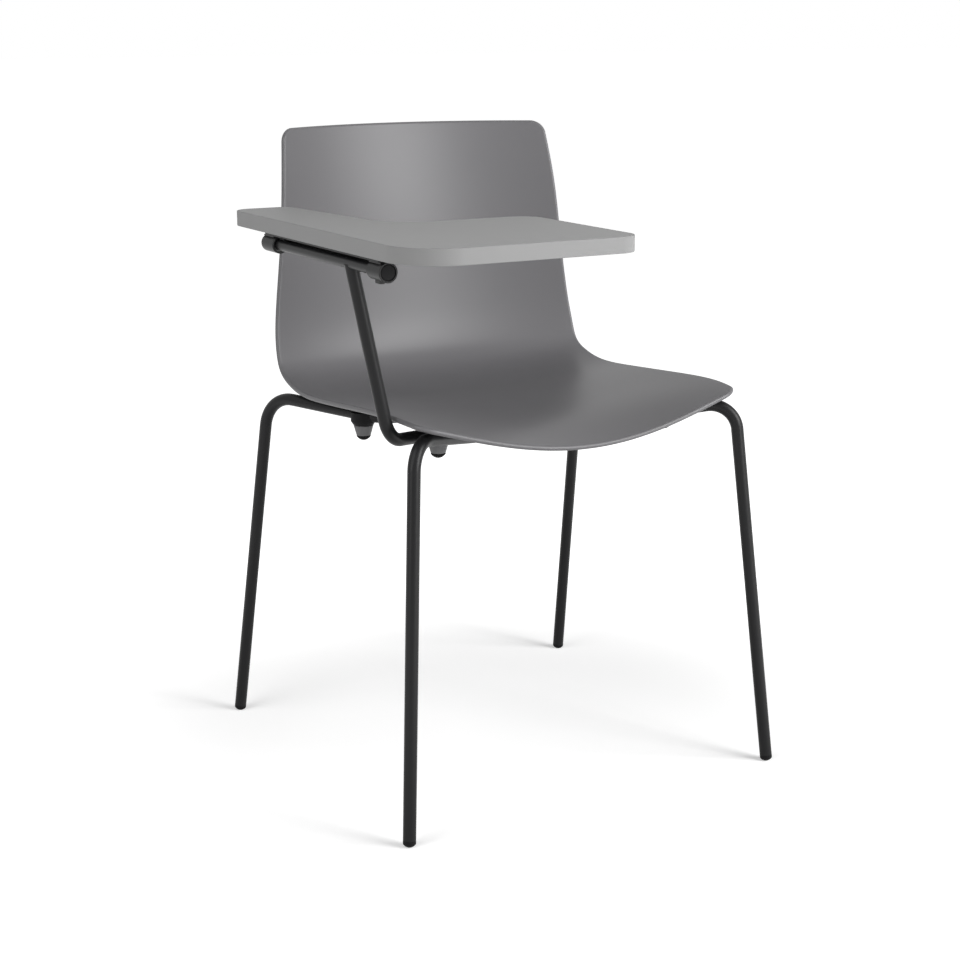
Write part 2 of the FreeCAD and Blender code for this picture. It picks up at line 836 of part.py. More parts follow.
# Hinge plate under the tablet
plate_front = -s.front_knuckle_y + s.knuckle_ring_length + s.plate_end_gap
plate_rear = s.rear_knuckle_y - s.plate_end_gap
plate_outer_x = -s.tablet_outer_x + s.plate_inset
plate_corners = [
    vec(plate_outer_x, plate_front, 0),
    vec(plate_outer_x + s.plate_width, plate_front, 0),
    vec(plate_outer_x + s.plate_width, plate_rear, 0),
    vec(plate_outer_x, plate_rear, 0),
]
plate = padded(
    "plate_blank",
    "XY_Plane",
    [rounded(plate_corners, [s.plate_corner] * 4)],
    "sizes.plate_thickness",
    level(plate_bottom),
)
node(plate, "hinge_plate")
node(core, "tablet_core")
node(under_face, "tablet_underside_laminate")

# Knuckles: sleeves welded under the plate that turn on the rod with plain bushes
knuckle_radius = s.knuckle_diameter / 2
bush_outside = "sizes.rod_diameter / 2 + sizes.running_gap + sizes.bush_wall"
for end, front_y in (("front", -s.front_knuckle_y), ("rear", s.rear_knuckle_y - s.knuckle_length)):
    start = vec(-s.hinge_x, front_y, hinge_height)
    foot_block = box(
        f"knuckle_foot_{end}",
        start + vec(-s.knuckle_foot_width / 2, s.knuckle_ring_length + s.plate_end_gap, 0),
        "sizes.knuckle_foot_width",
        "sizes.knuckle_length - sizes.knuckle_ring_length - 2 * sizes.plate_end_gap",
        "sizes.knuckle_diameter / 2 + sizes.weld_gap",
    )
    sleeve = cylinder(
        f"knuckle_sleeve_{end}", "sizes.knuckle_diameter / 2", "sizes.knuckle_length", start, BACK
    )
    forms = [foot_block, sleeve]
    outside_y = front_y if end == "front" else front_y + s.knuckle_length
    inward = BACK if end == "front" else FRONT
    cap_seat = vec(-s.hinge_x, outside_y, hinge_height)
    if end == "front":
        forms.append(
            cylinder(
                "knuckle_ring_front",
                "sizes.knuckle_ring_diameter / 2",
                "sizes.knuckle_ring_length",
                cap_seat,
                inward,
            )
        )
        tab_bottom = -knuckle_radius - s.stop_tab_height
        forms.append(
            box(
                "knuckle_stop_tab",
                start + vec(-s.stop_tab_thickness / 2, s.stop_tab_setback, tab_bottom),
                "sizes.stop_tab_thickness",
                "sizes.stop_tab_length",
                "sizes.stop_tab_height + sizes.bush_wall",
            )
        )
    bore = cylinder(
        f"knuckle_bore_{end}", bush_outside, "sizes.knuckle_length", start, BACK
    )
    recess = cylinder(
        f"knuckle_recess_{end}",
        "sizes.cap_diameter / 2 + sizes.cap_gap",
        "sizes.cap_thickness + sizes.cap_inset",
        cap_seat,
        inward,
    )
    node(cut(f"knuckle_{end}", fuse(f"knuckle_form_{end}", *forms), bore, recess), f"knuckle_{end}")
    cap_rest = s.cap_thickness + s.cap_inset
    node(
        cylinder(
            f"hinge_cap_{end}",
            "sizes.cap_diameter / 2",
            "sizes.cap_thickness",
            cap_seat + inward * s.cap_inset,
            inward,
        ),
        f"hinge_cap_{end}",
    )
    bush_length = "sizes.knuckle_length - sizes.cap_thickness - sizes.cap_inset - sizes.bush_setback"
    bush_start = cap_seat + inward * cap_rest
    bush_body = cylinder(f"bush_body_{end}", bush_outside, bush_length, bush_start, inward)
    bush_bore = cylinder(
        f"bush_bore_{end}",
        "sizes.rod_diameter / 2 + sizes.running_gap",
        bush_length,
        bush_start,
        inward,
    )
    node(cut(f"hinge_bush_{end}", bush_body, bush_bore), f"hinge_bush_{end}")

# Move the origin to the floor point under the middle of the whole chair
rear_limit = s.foot_half_depth + tube_radius
centre_x = (s.foot_half_width + tube_radius - s.tablet_outer_x) / 2
centre_y = (rear_limit - s.tablet_front_y) / 2
doc.recompute()
for item in nodes:
    item.Placement = FreeCAD.Placement(vec(-centre_x, -centre_y, 0), FreeCAD.Rotation()) * item.Placement
doc.recompute()

for item in doc.Objects:
    if "Invalid" in item.State or "Error" in item.State:
        raise RuntimeError(f"{item.Name} failed: {item.State}")
for item in nodes:
    if item.Shape.isNull() or not item.Shape.isValid():
        raise RuntimeError(f"{item.Label} has no valid shape")
os.makedirs("parts", exist_ok=True)
for item in nodes:
    item.Shape.exportStep(f"parts/{item.Label}.step")
print(f"{len(nodes)} parts written, centre moved by {centre_x:.2f} and {centre_y:.2f}")
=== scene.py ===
import json
import logging
import math
from dataclasses import dataclass, field
from enum import Enum
from typing import Iterable, Sequence

import bmesh
import bpy
import numpy as np
from bmesh.types import BMEdge, BMesh, BMFace, BMVert
from bpy.types import Node, NodeSocket, NodeTree
from mathutils import Euler, Matrix, Vector
from mathutils.bvhtree import BVHTree
from mathutils.kdtree import KDTree


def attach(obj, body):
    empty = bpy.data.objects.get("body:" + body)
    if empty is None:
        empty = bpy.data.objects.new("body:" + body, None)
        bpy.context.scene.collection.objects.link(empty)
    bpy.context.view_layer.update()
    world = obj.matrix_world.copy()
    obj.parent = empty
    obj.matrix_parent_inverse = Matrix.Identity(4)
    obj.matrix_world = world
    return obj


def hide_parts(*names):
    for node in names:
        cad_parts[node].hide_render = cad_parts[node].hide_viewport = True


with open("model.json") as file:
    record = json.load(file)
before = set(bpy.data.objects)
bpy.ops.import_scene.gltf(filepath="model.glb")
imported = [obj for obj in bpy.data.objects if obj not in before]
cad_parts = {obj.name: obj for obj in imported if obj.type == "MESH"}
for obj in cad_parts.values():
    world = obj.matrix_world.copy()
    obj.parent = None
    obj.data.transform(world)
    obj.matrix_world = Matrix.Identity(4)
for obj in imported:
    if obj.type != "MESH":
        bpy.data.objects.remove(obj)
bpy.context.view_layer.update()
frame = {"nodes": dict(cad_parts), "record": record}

LOG = logging.getLogger("tablet_chair")

# One millimetre in the scene's metres
MM = 0.001
# The named sizes below are in millimetres from the floor point between the feet.
# This is that point in the frame that every piece shares.
FEET_MIDDLE = Vector((11.95 * MM, 36.90 * MM, 0.0))

# Points of a turned form or of a copied solid that lie closer than this are one
TURNED_MERGE = 0.002 * MM
COPIED_MERGE = 0.01 * MM
# In degrees: copied faces that meet at less are flat, at more they have an edge to ease
COPIED_FLAT = 0.5
COPIED_SHARP = 35.0
# Faces round the wider turned pieces
FINE_STEPS = 48

UP = Vector((0.0, 0.0, 1.0))
DOWN = -UP
BACK = Vector((0.0, 1.0, 0.0))
LEFT = Vector((1.0, 0.0, 0.0))


class Body(Enum):
    """The two bodies that the hinge joins."""

    CHAIR = "chair"
    TABLET = "tablet"


class Hand(Enum):
    """The sitter's sides, as the sign of their X."""

    RIGHT = -1
    LEFT = 1


class End(Enum):
    """The ends of the chair, as the sign of their Y."""

    FRONT = -1
    REAR = 1


def place(x: float, y: float, z: float) -> Vector:
    """The point so many millimetres left of, behind and above the one between the feet, in metres."""
    return Vector((x, y, z)) * MM + FEET_MIDDLE


def corner_name(end: End, hand: Hand) -> str:
    """The name of one of the chair's four corners."""
    return f"{end.name}_{hand.name}".lower()


def turned(start: Vector, direction: Vector) -> Matrix:
    """The matrix that moves the origin to a start and turns local +Z to a direction."""
    return Matrix.Translation(start) @ direction.to_track_quat("Z", "Y").to_matrix().to_4x4()


def edges_of(geometry: Iterable) -> list[BMEdge]:
    """The edges among mixed mesh elements."""
    return [item for item in geometry if isinstance(item, BMEdge)]


def verts_of(geometry: Iterable) -> list[BMVert]:
    """The vertices among mixed mesh elements."""
    return [item for item in geometry if isinstance(item, BMVert)]


def rounded_edges(bm: BMesh, edges: Sequence[BMEdge], size: float, segments: int = 3) -> list[BMFace]:
    """Round edges of a mesh.

    Args:
        bm: The mesh.
        edges: The edges to round.
        size: Width of the rounding in millimetres.
        segments: Number of faces across it.

    Returns:
        The faces of the rounding.
    """
    return bmesh.ops.bevel(
        bm,
        geom=list(edges),
        offset=size * MM,
        segments=segments,
        profile=0.5,
        affect="EDGES",
        material=-1,
        clamp_overlap=True,
    )["faces"]


def sharp_edges(bm: BMesh, least: float) -> list[BMEdge]:
    """The edges where two faces meet at more than an angle in degrees."""
    limit = math.radians(least)
    return [edge for edge in bm.edges if len(edge.link_faces) == 2 and edge.calc_face_angle() > limit]


def revolved(
    bm: BMesh,
    profile: Sequence[tuple[float, float]],
    start: Vector,
    direction: Vector,
    steps: int = 40,
    hollow: bool = False,
) -> None:
    """Turn a profile about an axis into a closed round form.

    Args:
        bm: The mesh that gets the form.
        profile: Radius and distance along the axis of each point, in millimetres.
        start: Where the axis starts.
        direction: Where the axis points.
        steps: Number of faces round the form.
        hollow: Whether the profile closes on itself and leaves a bore.
    """
    matrix = turned(start, direction)
    verts = [bm.verts.new(matrix @ Vector((radius * MM, 0.0, far * MM))) for radius, far in profile]
    pairs = list(zip(verts, verts[1:]))
    if hollow:
        pairs.append((verts[-1], verts[0]))
    edges = [bm.edges.new(pair) for pair in pairs]
    geometry, full = verts + edges, 2 * math.pi
    bmesh.ops.spin(bm, geom=geometry, cent=start, axis=direction, angle=full, steps=steps, use_merge=True)
    bmesh.ops.remove_doubles(bm, verts=bm.verts[:], dist=TURNED_MERGE)


def block(bm: BMesh, low: Vector, size: tuple[float, float, float], ease: float) -> None:
    """Add a block with eased edges.

    Args:
        bm: The mesh that gets the block.
        low: Its lowest corner.
        size: Its sides along X, Y and Z in millimetres.
        ease: The width of its rounded edges in millimetres.
    """
    extent = Vector(size) * MM
    matrix = Matrix.Translation(low + extent / 2) @ Matrix.Diagonal((*extent, 1.0))
    verts = bmesh.ops.create_cube(bm, size=1.0, matrix=matrix)["verts"]
    edges = {edge for vert in verts for edge in vert.link_edges}
    rounded_edges(bm, list(edges), ease)


def cap_profile(radius: float, ball_radius: float, length: float, steps: int) -> list[tuple[float, float]]:
    """The profile of a ball's cap at the end of a round stem.

    Args:
        radius: The stem's radius.
        ball_radius: The ball's radius.
        length: Where the cap ends on the axis.
        steps: Number of pieces along the cap.

    Returns:
        Radius and distance of each point, from the stem to the axis.
    """
    widest = math.asin(radius / ball_radius)
    points = []
    for step in range(steps + 1):
        turn = widest * (1 - step / steps)
        points.append((ball_radius * math.sin(turn), length - ball_radius * (1 - math.cos(turn))))
    return points


def feed(tree: NodeTree, node: Node, inputs: dict) -> None:
    """Set a node's inputs.

    Args:
        tree: The tree that holds the node.
        node: The node.
        inputs: For each input its constant, or the output that feeds it.
    """
    for key, source in inputs.items():
        if isinstance(source, NodeSocket):
            tree.links.new(source, node.inputs[key])
        else:
            node.inputs[key].default_value = source


def add_node(tree: NodeTree, kind: str, inputs: dict, **settings: object) -> Node:
    """Add a shader node to a tree.

    Args:
        tree: The tree.
        kind: The node's type, without the prefix that all shader nodes share.
        inputs: For each input its constant, or the output that feeds it.
        settings: The node's own settings.

    Returns:
        The node.
    """
    node = tree.nodes.new(f"ShaderNode{kind}")
    for setting, choice in settings.items():
        setattr(node, setting, choice)
    feed(tree, node, inputs)
    return node


@dataclass(frozen=True)
class Finish:
    """A surface finish: one colour with a fine relief and a slow drift of tone."""

    name: str
    slot: str
    color: tuple[float, float, float]
    roughness: float
    grain_size: float
    grain_depth: float
    drift_size: float = 60.0
    drift_share: float = 0.04
    softness: float = 0.5
    specular: float = 0.5
    fleck_share: float = 0.0

    def material(self) -> bpy.types.Material:
        """The material, built at its first use.

        Returns:
            The material.
        """
        found = bpy.data.materials.get(self.name)
        if found is not None:
            return found
        material = bpy.data.materials.new(self.name)
        material.use_nodes = True
        material.diffuse_color = (*self.color, 1.0)
        tree = material.node_tree
        coordinates = add_node(tree, "TexCoord", {})
        pattern = {
            "Vector": coordinates.outputs["Object"],
            "Grain Size": self.grain_size * MM,
            "Drift Size": self.drift_size * MM,
            "Softness": self.softness,
            "Fleck Share": self.fleck_share,
        }
        relief = add_node(tree, "Group", pattern, node_tree=relief_group())
        tone, height = relief.outputs["Tone"], relief.outputs["Height"]
        less, more = 1 - self.drift_share, 1 + self.drift_share
        colors = {"Factor": tone, "A": self.shade(less), "B": self.shade(more)}
        tint = add_node(tree, "Mix", colors, data_type="RGBA")
        rough, rougher = self.roughness * less, min(1.0, self.roughness * more)
        gloss = add_node(tree, "MapRange", {"Value": tone, "To Min": rough, "To Max": rougher})
        bump = add_node(tree, "Bump", {"Distance": self.grain_depth * MM, "Height": height})
        surface = {
            "Base Color": tint.outputs["Result"],
            "Roughness": gloss.outputs["Result"],
            "Normal": bump.outputs["Normal"],
            "Specular IOR Level": self.specular,
        }
        feed(tree, tree.nodes["Principled BSDF"], surface)
        return material

    def shade(self, share: float) -> tuple[float, float, float, float]:
        """The finish's colour made lighter or darker by a share, as red, green, blue and one."""
        red, green, blue = (min(1.0, part * share) for part in self.color)
        return red, green, blue, 1.0

    def dress(self, piece: bpy.types.Object) -> None:
        """Give a piece this finish alone."""
        piece.data.materials.clear()
        piece.data.materials.append(self.material())


def relief_group() -> NodeTree:
    """The effect that every finish shares: a fine grain, flecks of it in the tone, and a slow drift.

    Returns:
        The node group, built at its first use.
    """
    name = "moulded_relief"
    found = bpy.data.node_groups.get(name)
    if found is not None:
        return found
    tree = bpy.data.node_groups.new(name, "ShaderNodeTree")
    sockets = tree.interface
    sockets.new_socket("Vector", in_out="INPUT", socket_type="NodeSocketVector")
    for label in ("Grain Size", "Drift Size", "Softness", "Fleck Share"):
        sockets.new_socket(label, in_out="INPUT", socket_type="NodeSocketFloat")
    for label in ("Height", "Tone"):
        sockets.new_socket(label, in_out="OUTPUT", socket_type="NodeSocketFloat")
    entry = tree.nodes.new("NodeGroupInput")
    result = tree.nodes.new("NodeGroupOutput")
    noises = {}
    for size, detail in (("Grain Size", 3.0), ("Drift Size", 2.0)):
        inverse = add_node(tree, "Math", {0: 1.0, 1: entry.outputs[size]}, operation="DIVIDE")
        pattern = {
            "Vector": entry.outputs["Vector"],
            "Scale": inverse.outputs["Value"],
            "Detail": detail,
            "Roughness": entry.outputs["Softness"],
        }
        noises[size] = add_node(tree, "TexNoise", pattern).outputs["Fac"]
    share = {"Factor": entry.outputs["Fleck Share"], "A": noises["Drift Size"], "B": noises["Grain Size"]}
    tone = add_node(tree, "Mix", share, data_type="FLOAT")
    feed(tree, result, {"Height": noises["Grain Size"], "Tone": tone.outputs["Result"]})
    return tree


SHELL_PLASTIC = Finish(
    "grey_shell", "shell_plastic", (0.116, 0.114, 0.119),
    roughness=0.39, grain_size=0.8, grain_depth=0.03, specular=0.28, fleck_share=0.5,
)
# Painted highlight: a lighter copy of the shell plastic for the rounded rim, standing in for the light that
# the rim catches
SHELL_RIM_PAINTED_HIGHLIGHT = Finish(
    "grey_shell_edge", "shell_plastic", (0.27, 0.268, 0.273),
    roughness=0.42, grain_size=1.2, grain_depth=0.01, specular=0.4,
)
BLACK_PAINT = Finish(
    "black_powder_coat", "black_paint", (0.009, 0.009, 0.0095),
    roughness=0.36, grain_size=1.1, grain_depth=0.02, specular=0.16,
)
BUMPER_PLASTIC = Finish(
    "grey_bumper", "bumper_plastic", (0.12, 0.12, 0.122),
    roughness=0.5, grain_size=0.6, grain_depth=0.02, specular=0.3,
)
BLACK_PLASTIC = Finish(
    "black_moulding", "black_plastic", (0.006, 0.006, 0.0065),
    roughness=0.55, grain_size=0.6, grain_depth=0.02, specular=0.1,
)
BLACK_RUBBER = Finish(
    "soft_rubber", "black_rubber", (0.006, 0.006, 0.006),
    roughness=0.75, grain_size=0.5, grain_depth=0.03, specular=0.1,
)
BUSH_PLASTIC = Finish(
    "bearing_bush", "bush_plastic", (0.03, 0.03, 0.032),
    roughness=0.35, grain_size=1.5, grain_depth=0.01,
)
BOARD_WOOD = Finish(
    "pressed_board", "board_wood", (0.45, 0.33, 0.21),
    roughness=0.8, grain_size=3.0, grain_depth=0.2, drift_size=8.0, drift_share=0.3,
)
LAMINATE = Finish(
    "grey_laminate", "tablet_laminate", (0.32, 0.32, 0.32),
    roughness=0.6, grain_size=0.7, grain_depth=0.015, specular=0.15, fleck_share=0.5,
)
# A darker grey for the edging's rounded edges
EDGING_DARK_ROUNDS = Finish(
    "grey_edging_dark_rounds", "tablet_edging", (0.15, 0.15, 0.15),
    roughness=0.6, grain_size=0.8, grain_depth=0.01, specular=0.1,
)
EDGING = Finish(
    "grey_edging", "tablet_edging", (0.245, 0.245, 0.245),
    roughness=0.5, grain_size=0.8, grain_depth=0.01, specular=0.15,
)

# The finish of each slot in the record
MAIN_FINISHES = (
    SHELL_PLASTIC, BLACK_PAINT, BUMPER_PLASTIC, BLACK_PLASTIC, BLACK_RUBBER,
    BUSH_PLASTIC, BOARD_WOOD, LAMINATE, EDGING,
)
FINISHES = {finish.slot: finish for finish in MAIN_FINISHES}


def finished(
    name: str,
    bm: BMesh,
    finish: Finish,
    body: Body,
    replaces: Sequence[str] = (),
    smooth_angle: float = 40.0,
) -> bpy.types.Object:
    """Make a piece of a mesh, dress it and let it ride on its body.

    Args:
        name: The piece's name.
        bm: The finished mesh, which is freed.
        finish: What the surface is made of.
        body: The body that carries the piece.
        replaces: The solids that the piece stands for.
        smooth_angle: Faces that meet at less than this many degrees shade as one surface.

    Returns:
        The piece.
    """
    bmesh.ops.recalc_face_normals(bm, faces=bm.faces[:])
    open_edges = sum(1 for edge in bm.edges if len(edge.link_faces) != 2)
    mesh = bpy.data.meshes.new(name)
    bm.to_mesh(mesh)
    bm.free()
    mesh.shade_smooth()
    mesh.set_sharp_from_angle(angle=math.radians(smooth_angle))
    piece = bpy.data.objects.new(name, mesh)
    bpy.context.scene.collection.objects.link(piece)
    finish.dress(piece)
    even = piece.modifiers.new("even_normals", "WEIGHTED_NORMAL")
    even.keep_sharp = True
    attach(piece, body.value)
    if replaces:
        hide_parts(*replaces)
    LOG.info("%s: %d faces, %d open edges", name, len(mesh.polygons), open_edges)
    return piece


def eased_copy(name: str, node: str, finish: Finish, body: Body, ease: float) -> bpy.types.Object:
    """A solid's own form with its sharp edges eased.

    Args:
        name: The piece's name.
        node: The solid that it is copied from and stands for.
        finish: What the surface is made of.
        body: The body that carries the piece.
        ease: The width of the eased edges in millimetres.

    Returns:
        The piece.
    """
    bm = bmesh.new()
    bm.from_mesh(frame["nodes"][node].data)
    bmesh.ops.remove_doubles(bm, verts=bm.verts[:], dist=COPIED_MERGE)
    bmesh.ops.dissolve_limit(
        bm,
        angle_limit=math.radians(COPIED_FLAT),
        verts=bm.verts[:],
        edges=bm.edges[:],
        use_dissolve_boundaries=False,
    )
    rounded_edges(bm, sharp_edges(bm, COPIED_SHARP), ease, 2)
    return finished(name, bm, finish, body, [node])


@dataclass
class BentTube:
    """A round tube of straight runs and tangent bends."""

    points: Sequence[Vector]
    bends: Sequence[float]
    radius: float
    sides: int = 40
    bend_step: float = 4.0

    def build(self, bm: BMesh) -> None:
        """Add the tube to a mesh.

        Args:
            bm: The mesh.
        """
        way = (self.points[1] - self.points[0]).normalized()
        at = self.points[0]
        ring = bmesh.ops.create_circle(
            bm,
            cap_ends=True,
            segments=self.sides,
            radius=self.radius * MM,
            matrix=turned(at, way),
        )["verts"]
        for corner, after, bend in zip(self.points[1:-1], self.points[2:], self.bends):
            onward = (after - corner).normalized()
            turn = way.angle(onward)
            axis = way.cross(onward).normalized()
            reach = bend * MM * math.tan(turn / 2)
            bend_start = corner - way * reach
            ring = self.run(bm, ring, bend_start - at)
            ring = verts_of(
                bmesh.ops.spin(
                    bm,
                    geom=ring + self.between(ring),
                    cent=bend_start + axis.cross(way) * bend * MM,
                    axis=axis,
                    angle=turn,
                    steps=math.ceil(math.degrees(turn) / self.bend_step),
                )["geom_last"]
            )
            at = corner + onward * reach
            way = onward
        ring = self.run(bm, ring, self.points[-1] - at)
        bmesh.ops.contextual_create(bm, geom=self.between(ring))

    @staticmethod
    def between(ring: Sequence[BMVert]) -> list[BMEdge]:
        """The edges whose two ends are both in a ring of vertices."""
        inside = set(ring)
        found = {edge for vert in ring for edge in vert.link_edges}
        return [edge for edge in found if set(edge.verts) <= inside]

    def run(
        self, bm: BMesh, ring: Sequence[BMVert], step: Vector
    ) -> list[BMVert]:
        """Carry a ring straight on.

        Args:
            bm: The mesh.
            ring: The last ring of vertices.
            step: How far and where to.

        Returns:
            The new last ring.
        """
        made = bmesh.ops.extrude_edge_only(bm, edges=self.between(ring))["geom"]
        new = verts_of(made)
        bmesh.ops.translate(bm, verts=new, vec=step)
        return new


@dataclass
class SmoothGuide:
    """A curve of cubic pieces that passes each point at its station."""

    stations: Sequence[float]
    points: Sequence[Sequence[float]]

    def __post_init__(self) -> None:
        """Work out the curve's bending at each station."""
        self.at = np.array(self.stations, float)
        self.values = np.array(self.points, float)
        gaps = np.diff(self.at)
        slopes = np.diff(self.values, axis=0) / gaps[:, None]
        count = len(self.at)
        system = np.eye(count)
        change = np.zeros_like(self.values)
        for index in range(1, count - 1):
            before, after = gaps[index - 1], gaps[index]
            system[index, index - 1 : index + 2] = before, 2 * (before + after), after
            change[index] = 6 * (slopes[index] - slopes[index - 1])
        self.bending = np.linalg.solve(system, change)

    def value(self, station: float) -> np.ndarray:
        """The point at a station.

        Args:
            station: A number from the first station to the last.

        Returns:
            The point.
        """
        index = int(np.clip(np.searchsorted(self.at, station) - 1, 0, len(self.at) - 2))
        gap = self.at[index + 1] - self.at[index]
        after = (station - self.at[index]) / gap
        before = 1 - after
        bend = (before ** 3 - before) * self.bending[index] + (after ** 3 - after) * self.bending[index + 1]
        return before * self.values[index] + after * self.values[index + 1] + bend * gap ** 2 / 6


@dataclass
class MouldedShell:
    """The one-piece seat and back: a wall whose cross sections are shallow arcs."""

    front: float = 237.0
    depth: float = 495.0
    base_height: float = 456.0
    rise: float = 360.5
    half_width: float = 238.0
    thickness: float = 6.5
    front_round: float = 21.0
    top_round: float = 17.0
    rim_angle: float = 50.0
    edge_steps: int = 8
    row_spacing: float = 7.0
    columns: int = 65
    corner_steps: int = 8
    boss_radius: float = 6.0
    boss_flare: float = 1.2
    # Middle and rim as shares of the depth and rise, the share of the half width,
    # and how far the section bulges over a plain arc, as a share of its sag
    station_shares: Sequence[tuple] = (
        ((0.000, 0.000), (0.032, 0.122), 0.958, 0.085),
        ((0.105, 0.033), (0.115, 0.129), 0.981, 0.060),
        ((0.317, 0.042), (0.317, 0.117), 0.990, 0.000),
        ((0.560, 0.036), (0.552, 0.092), 0.995, 0.000),
        ((0.762, 0.033), (0.717, 0.095), 0.986, 0.000),
        ((0.838, 0.054), (0.773, 0.116), 0.982, 0.000),
        ((0.893, 0.102), (0.809, 0.148), 0.977, 0.000),
        ((0.923, 0.180), (0.827, 0.206), 0.973, 0.000),
        ((0.939, 0.289), (0.841, 0.289), 0.961, 0.000),
        ((0.956, 0.567), (0.853, 0.567), 0.910, 0.000),
        ((0.975, 0.789), (0.867, 0.789), 0.877, 0.000),
        ((0.998, 1.000), (0.899, 0.998), 0.840, 0.000),
    )

    def __post_init__(self) -> None:
        """Lay the three guides."""
        middles = [self.middle_plane(row[0]) for row in self.station_shares]
        rims = [self.middle_plane(row[1]) for row in self.station_shares]
        forms = [(row[2] * self.half_width, row[3]) for row in self.station_shares]
        lengths = [0.0]
        for before, after in zip(middles, middles[1:]):
            lengths.append(lengths[-1] + math.dist(before, after))
        self.length = lengths[-1]
        stations = [length / self.length for length in lengths]
        self.middle_guide = SmoothGuide(stations, middles)
        self.rim_guide = SmoothGuide(stations, rims)
        self.form_guide = SmoothGuide(stations, forms)

    def middle_plane(self, shares: tuple[float, float]) -> tuple[float, float, float]:
        """A point of the middle plane in millimetres from shares of the depth and rise."""
        depth_share, rise_share = shares
        return (
            0.0,
            depth_share * self.depth - self.front,
            rise_share * self.rise + self.base_height,
        )

    def rows(self) -> list[tuple[float, float]]:
        """The rows of points from the lip to the top, short of the rounded edge.

        Returns:
            For each row its share of the way and how far its ends are drawn in.
        """
        edge = self.thickness / 2
        corner = []
        for step in range(self.corner_steps + 1):
            turn = math.pi / 2 * step / self.corner_steps
            corner.append((1 - math.cos(turn), 1 - math.sin(turn)))
        front, top = self.front_round - edge, self.top_round - edge
        rows = [(edge + front * far, edge + front * inward) for far, inward in corner]
        plain = self.length - self.front_round - self.top_round
        count = round(plain / self.row_spacing)
        rows += [(self.front_round + plain * index / count, edge) for index in range(1, count)]
        end = [(self.length - edge - top * far, edge + top * inward) for far, inward in corner]
        rows += end[::-1]
        return [(far / self.length, inward) for far, inward in rows]

    def row_points(self, share: float, inward: float) -> list[Vector]:
        """The points of one cross section on the sitting side.

        Args:
            share: How far along the shell the section lies.
            inward: How far its ends are drawn in, in millimetres.

        Returns:
            The points.
        """
        middle = Vector(self.middle_guide.value(share))
        rim = Vector(self.rim_guide.value(share))
        half_width, bulge_share = (float(part) for part in self.form_guide.value(share))
        sag = (rim - middle).length
        radius = (half_width ** 2 + sag ** 2) / (2 * sag)
        towards = (rim - middle).normalized()
        centre = middle + towards * radius
        full_angle = math.asin(half_width / radius)
        end_angle = math.asin((half_width - inward) / radius)
        points = []
        for column in range(self.columns):
            angle = end_angle * (2 * column / (self.columns - 1) - 1)
            ray = LEFT * math.sin(angle) - towards * math.cos(angle)
            across = (angle / full_angle) ** 2
            bulge = towards * (4 * across * (1 - across) * bulge_share * sag)
            points.append(place(*(centre + ray * radius + bulge)))
        return points

    def build(self) -> bpy.types.Object:
        """Make the shell.

        Returns:
            The piece.
        """
        rows = self.rows()
        bm = bmesh.new()
        grid = bmesh.ops.create_grid(
            bm, x_segments=self.columns - 1, y_segments=len(rows) - 1, size=0.5
        )["verts"]
        points = [self.row_points(*row) for row in rows]
        for vert in grid:
            column = round((vert.co.x + 0.5) * (self.columns - 1))
            row = round((vert.co.y + 0.5) * (len(rows) - 1))
            vert.co = points[row][column]
        bmesh.ops.recalc_face_normals(bm, faces=bm.faces[:])
        if bm.faces[0].normal.z < 0:
            bmesh.ops.reverse_faces(bm, faces=bm.faces[:])
        bmesh.ops.solidify(bm, geom=bm.faces[:], thickness=self.thickness * MM)
        self.round_edge(bm)
        self.surface = BVHTree.FromBMesh(bm)
        shell = finished("shell_skin", bm, SHELL_PLASTIC, Body.CHAIR, ["seat_shell"])
        # The rim's faces get the lighter copy of the shell plastic: a painted highlight
        shell.data.materials.append(SHELL_RIM_PAINTED_HIGHLIGHT.material())
        return shell

    def round_edge(self, bm: BMesh) -> None:
        """Give the wall's edge a half-round form, with a lighter copy of the shell plastic on it as a
        painted highlight.

        Args:
            bm: The shell's mesh, whose wall ends squarely.
        """
        borders = set(sharp_edges(bm, self.rim_angle))
        across: dict[BMEdge, Vector] = {}
        for face in bm.faces:
            sides = [edge for edge in face.edges if edge in borders]
            if len(sides) != 2 or set(sides[0].verts) & set(sides[1].verts):
                continue
            # Painted highlight: the rim faces take the lighter second material
            face.material_index = 1
            for edge in face.edges:
                if edge not in borders:
                    across[edge] = across.get(edge, Vector()) + face.normal
        arcs = []
        for edge, way in across.items():
            start, end = (vert.co.copy() for vert in edge.verts)
            arcs.append((start, end, way.normalized()))
        made = bmesh.ops.subdivide_edges(
            bm, edges=list(across), cuts=self.edge_steps - 1, use_grid_fill=True
        )["geom_inner"]
        new = verts_of(made)
        finder = KDTree(len(new))
        for index, vert in enumerate(new):
            finder.insert(vert.co, index)
        finder.balance()
        for start, end, way in arcs:
            middle, half = (start + end) / 2, (start - end) / 2
            for step in range(1, self.edge_steps):
                found = new[finder.find(start.lerp(end, step / self.edge_steps))[1]]
                turn = math.pi * step / self.edge_steps
                found.co = middle + half * math.cos(turn) + way * half.length * math.sin(turn)

    def underside(self, point: Vector) -> Vector:
        """Where a line straight up from a point meets the shell's underside."""
        return self.surface.ray_cast(point, UP)[0]

    def build_bosses(self, seats: Sequence[Vector]) -> bpy.types.Object:
        """Make the bosses under the seat.

        Args:
            seats: Where each boss ends at the bottom.

        Returns:
            The piece that holds them all.
        """
        bm = bmesh.new()
        for seat in seats:
            height = (self.underside(seat).z - seat.z) / MM
            profile = (
                (0.0, 0.0),
                (self.boss_radius, 0.0),
                (self.boss_radius, height - self.boss_flare),
                (self.boss_radius + self.boss_flare, height + self.thickness / 3),
                (0.0, height + self.thickness / 2),
            )
            revolved(bm, profile, seat, UP)
        return finished("shell_bosses", bm, SHELL_PLASTIC, Body.CHAIR)


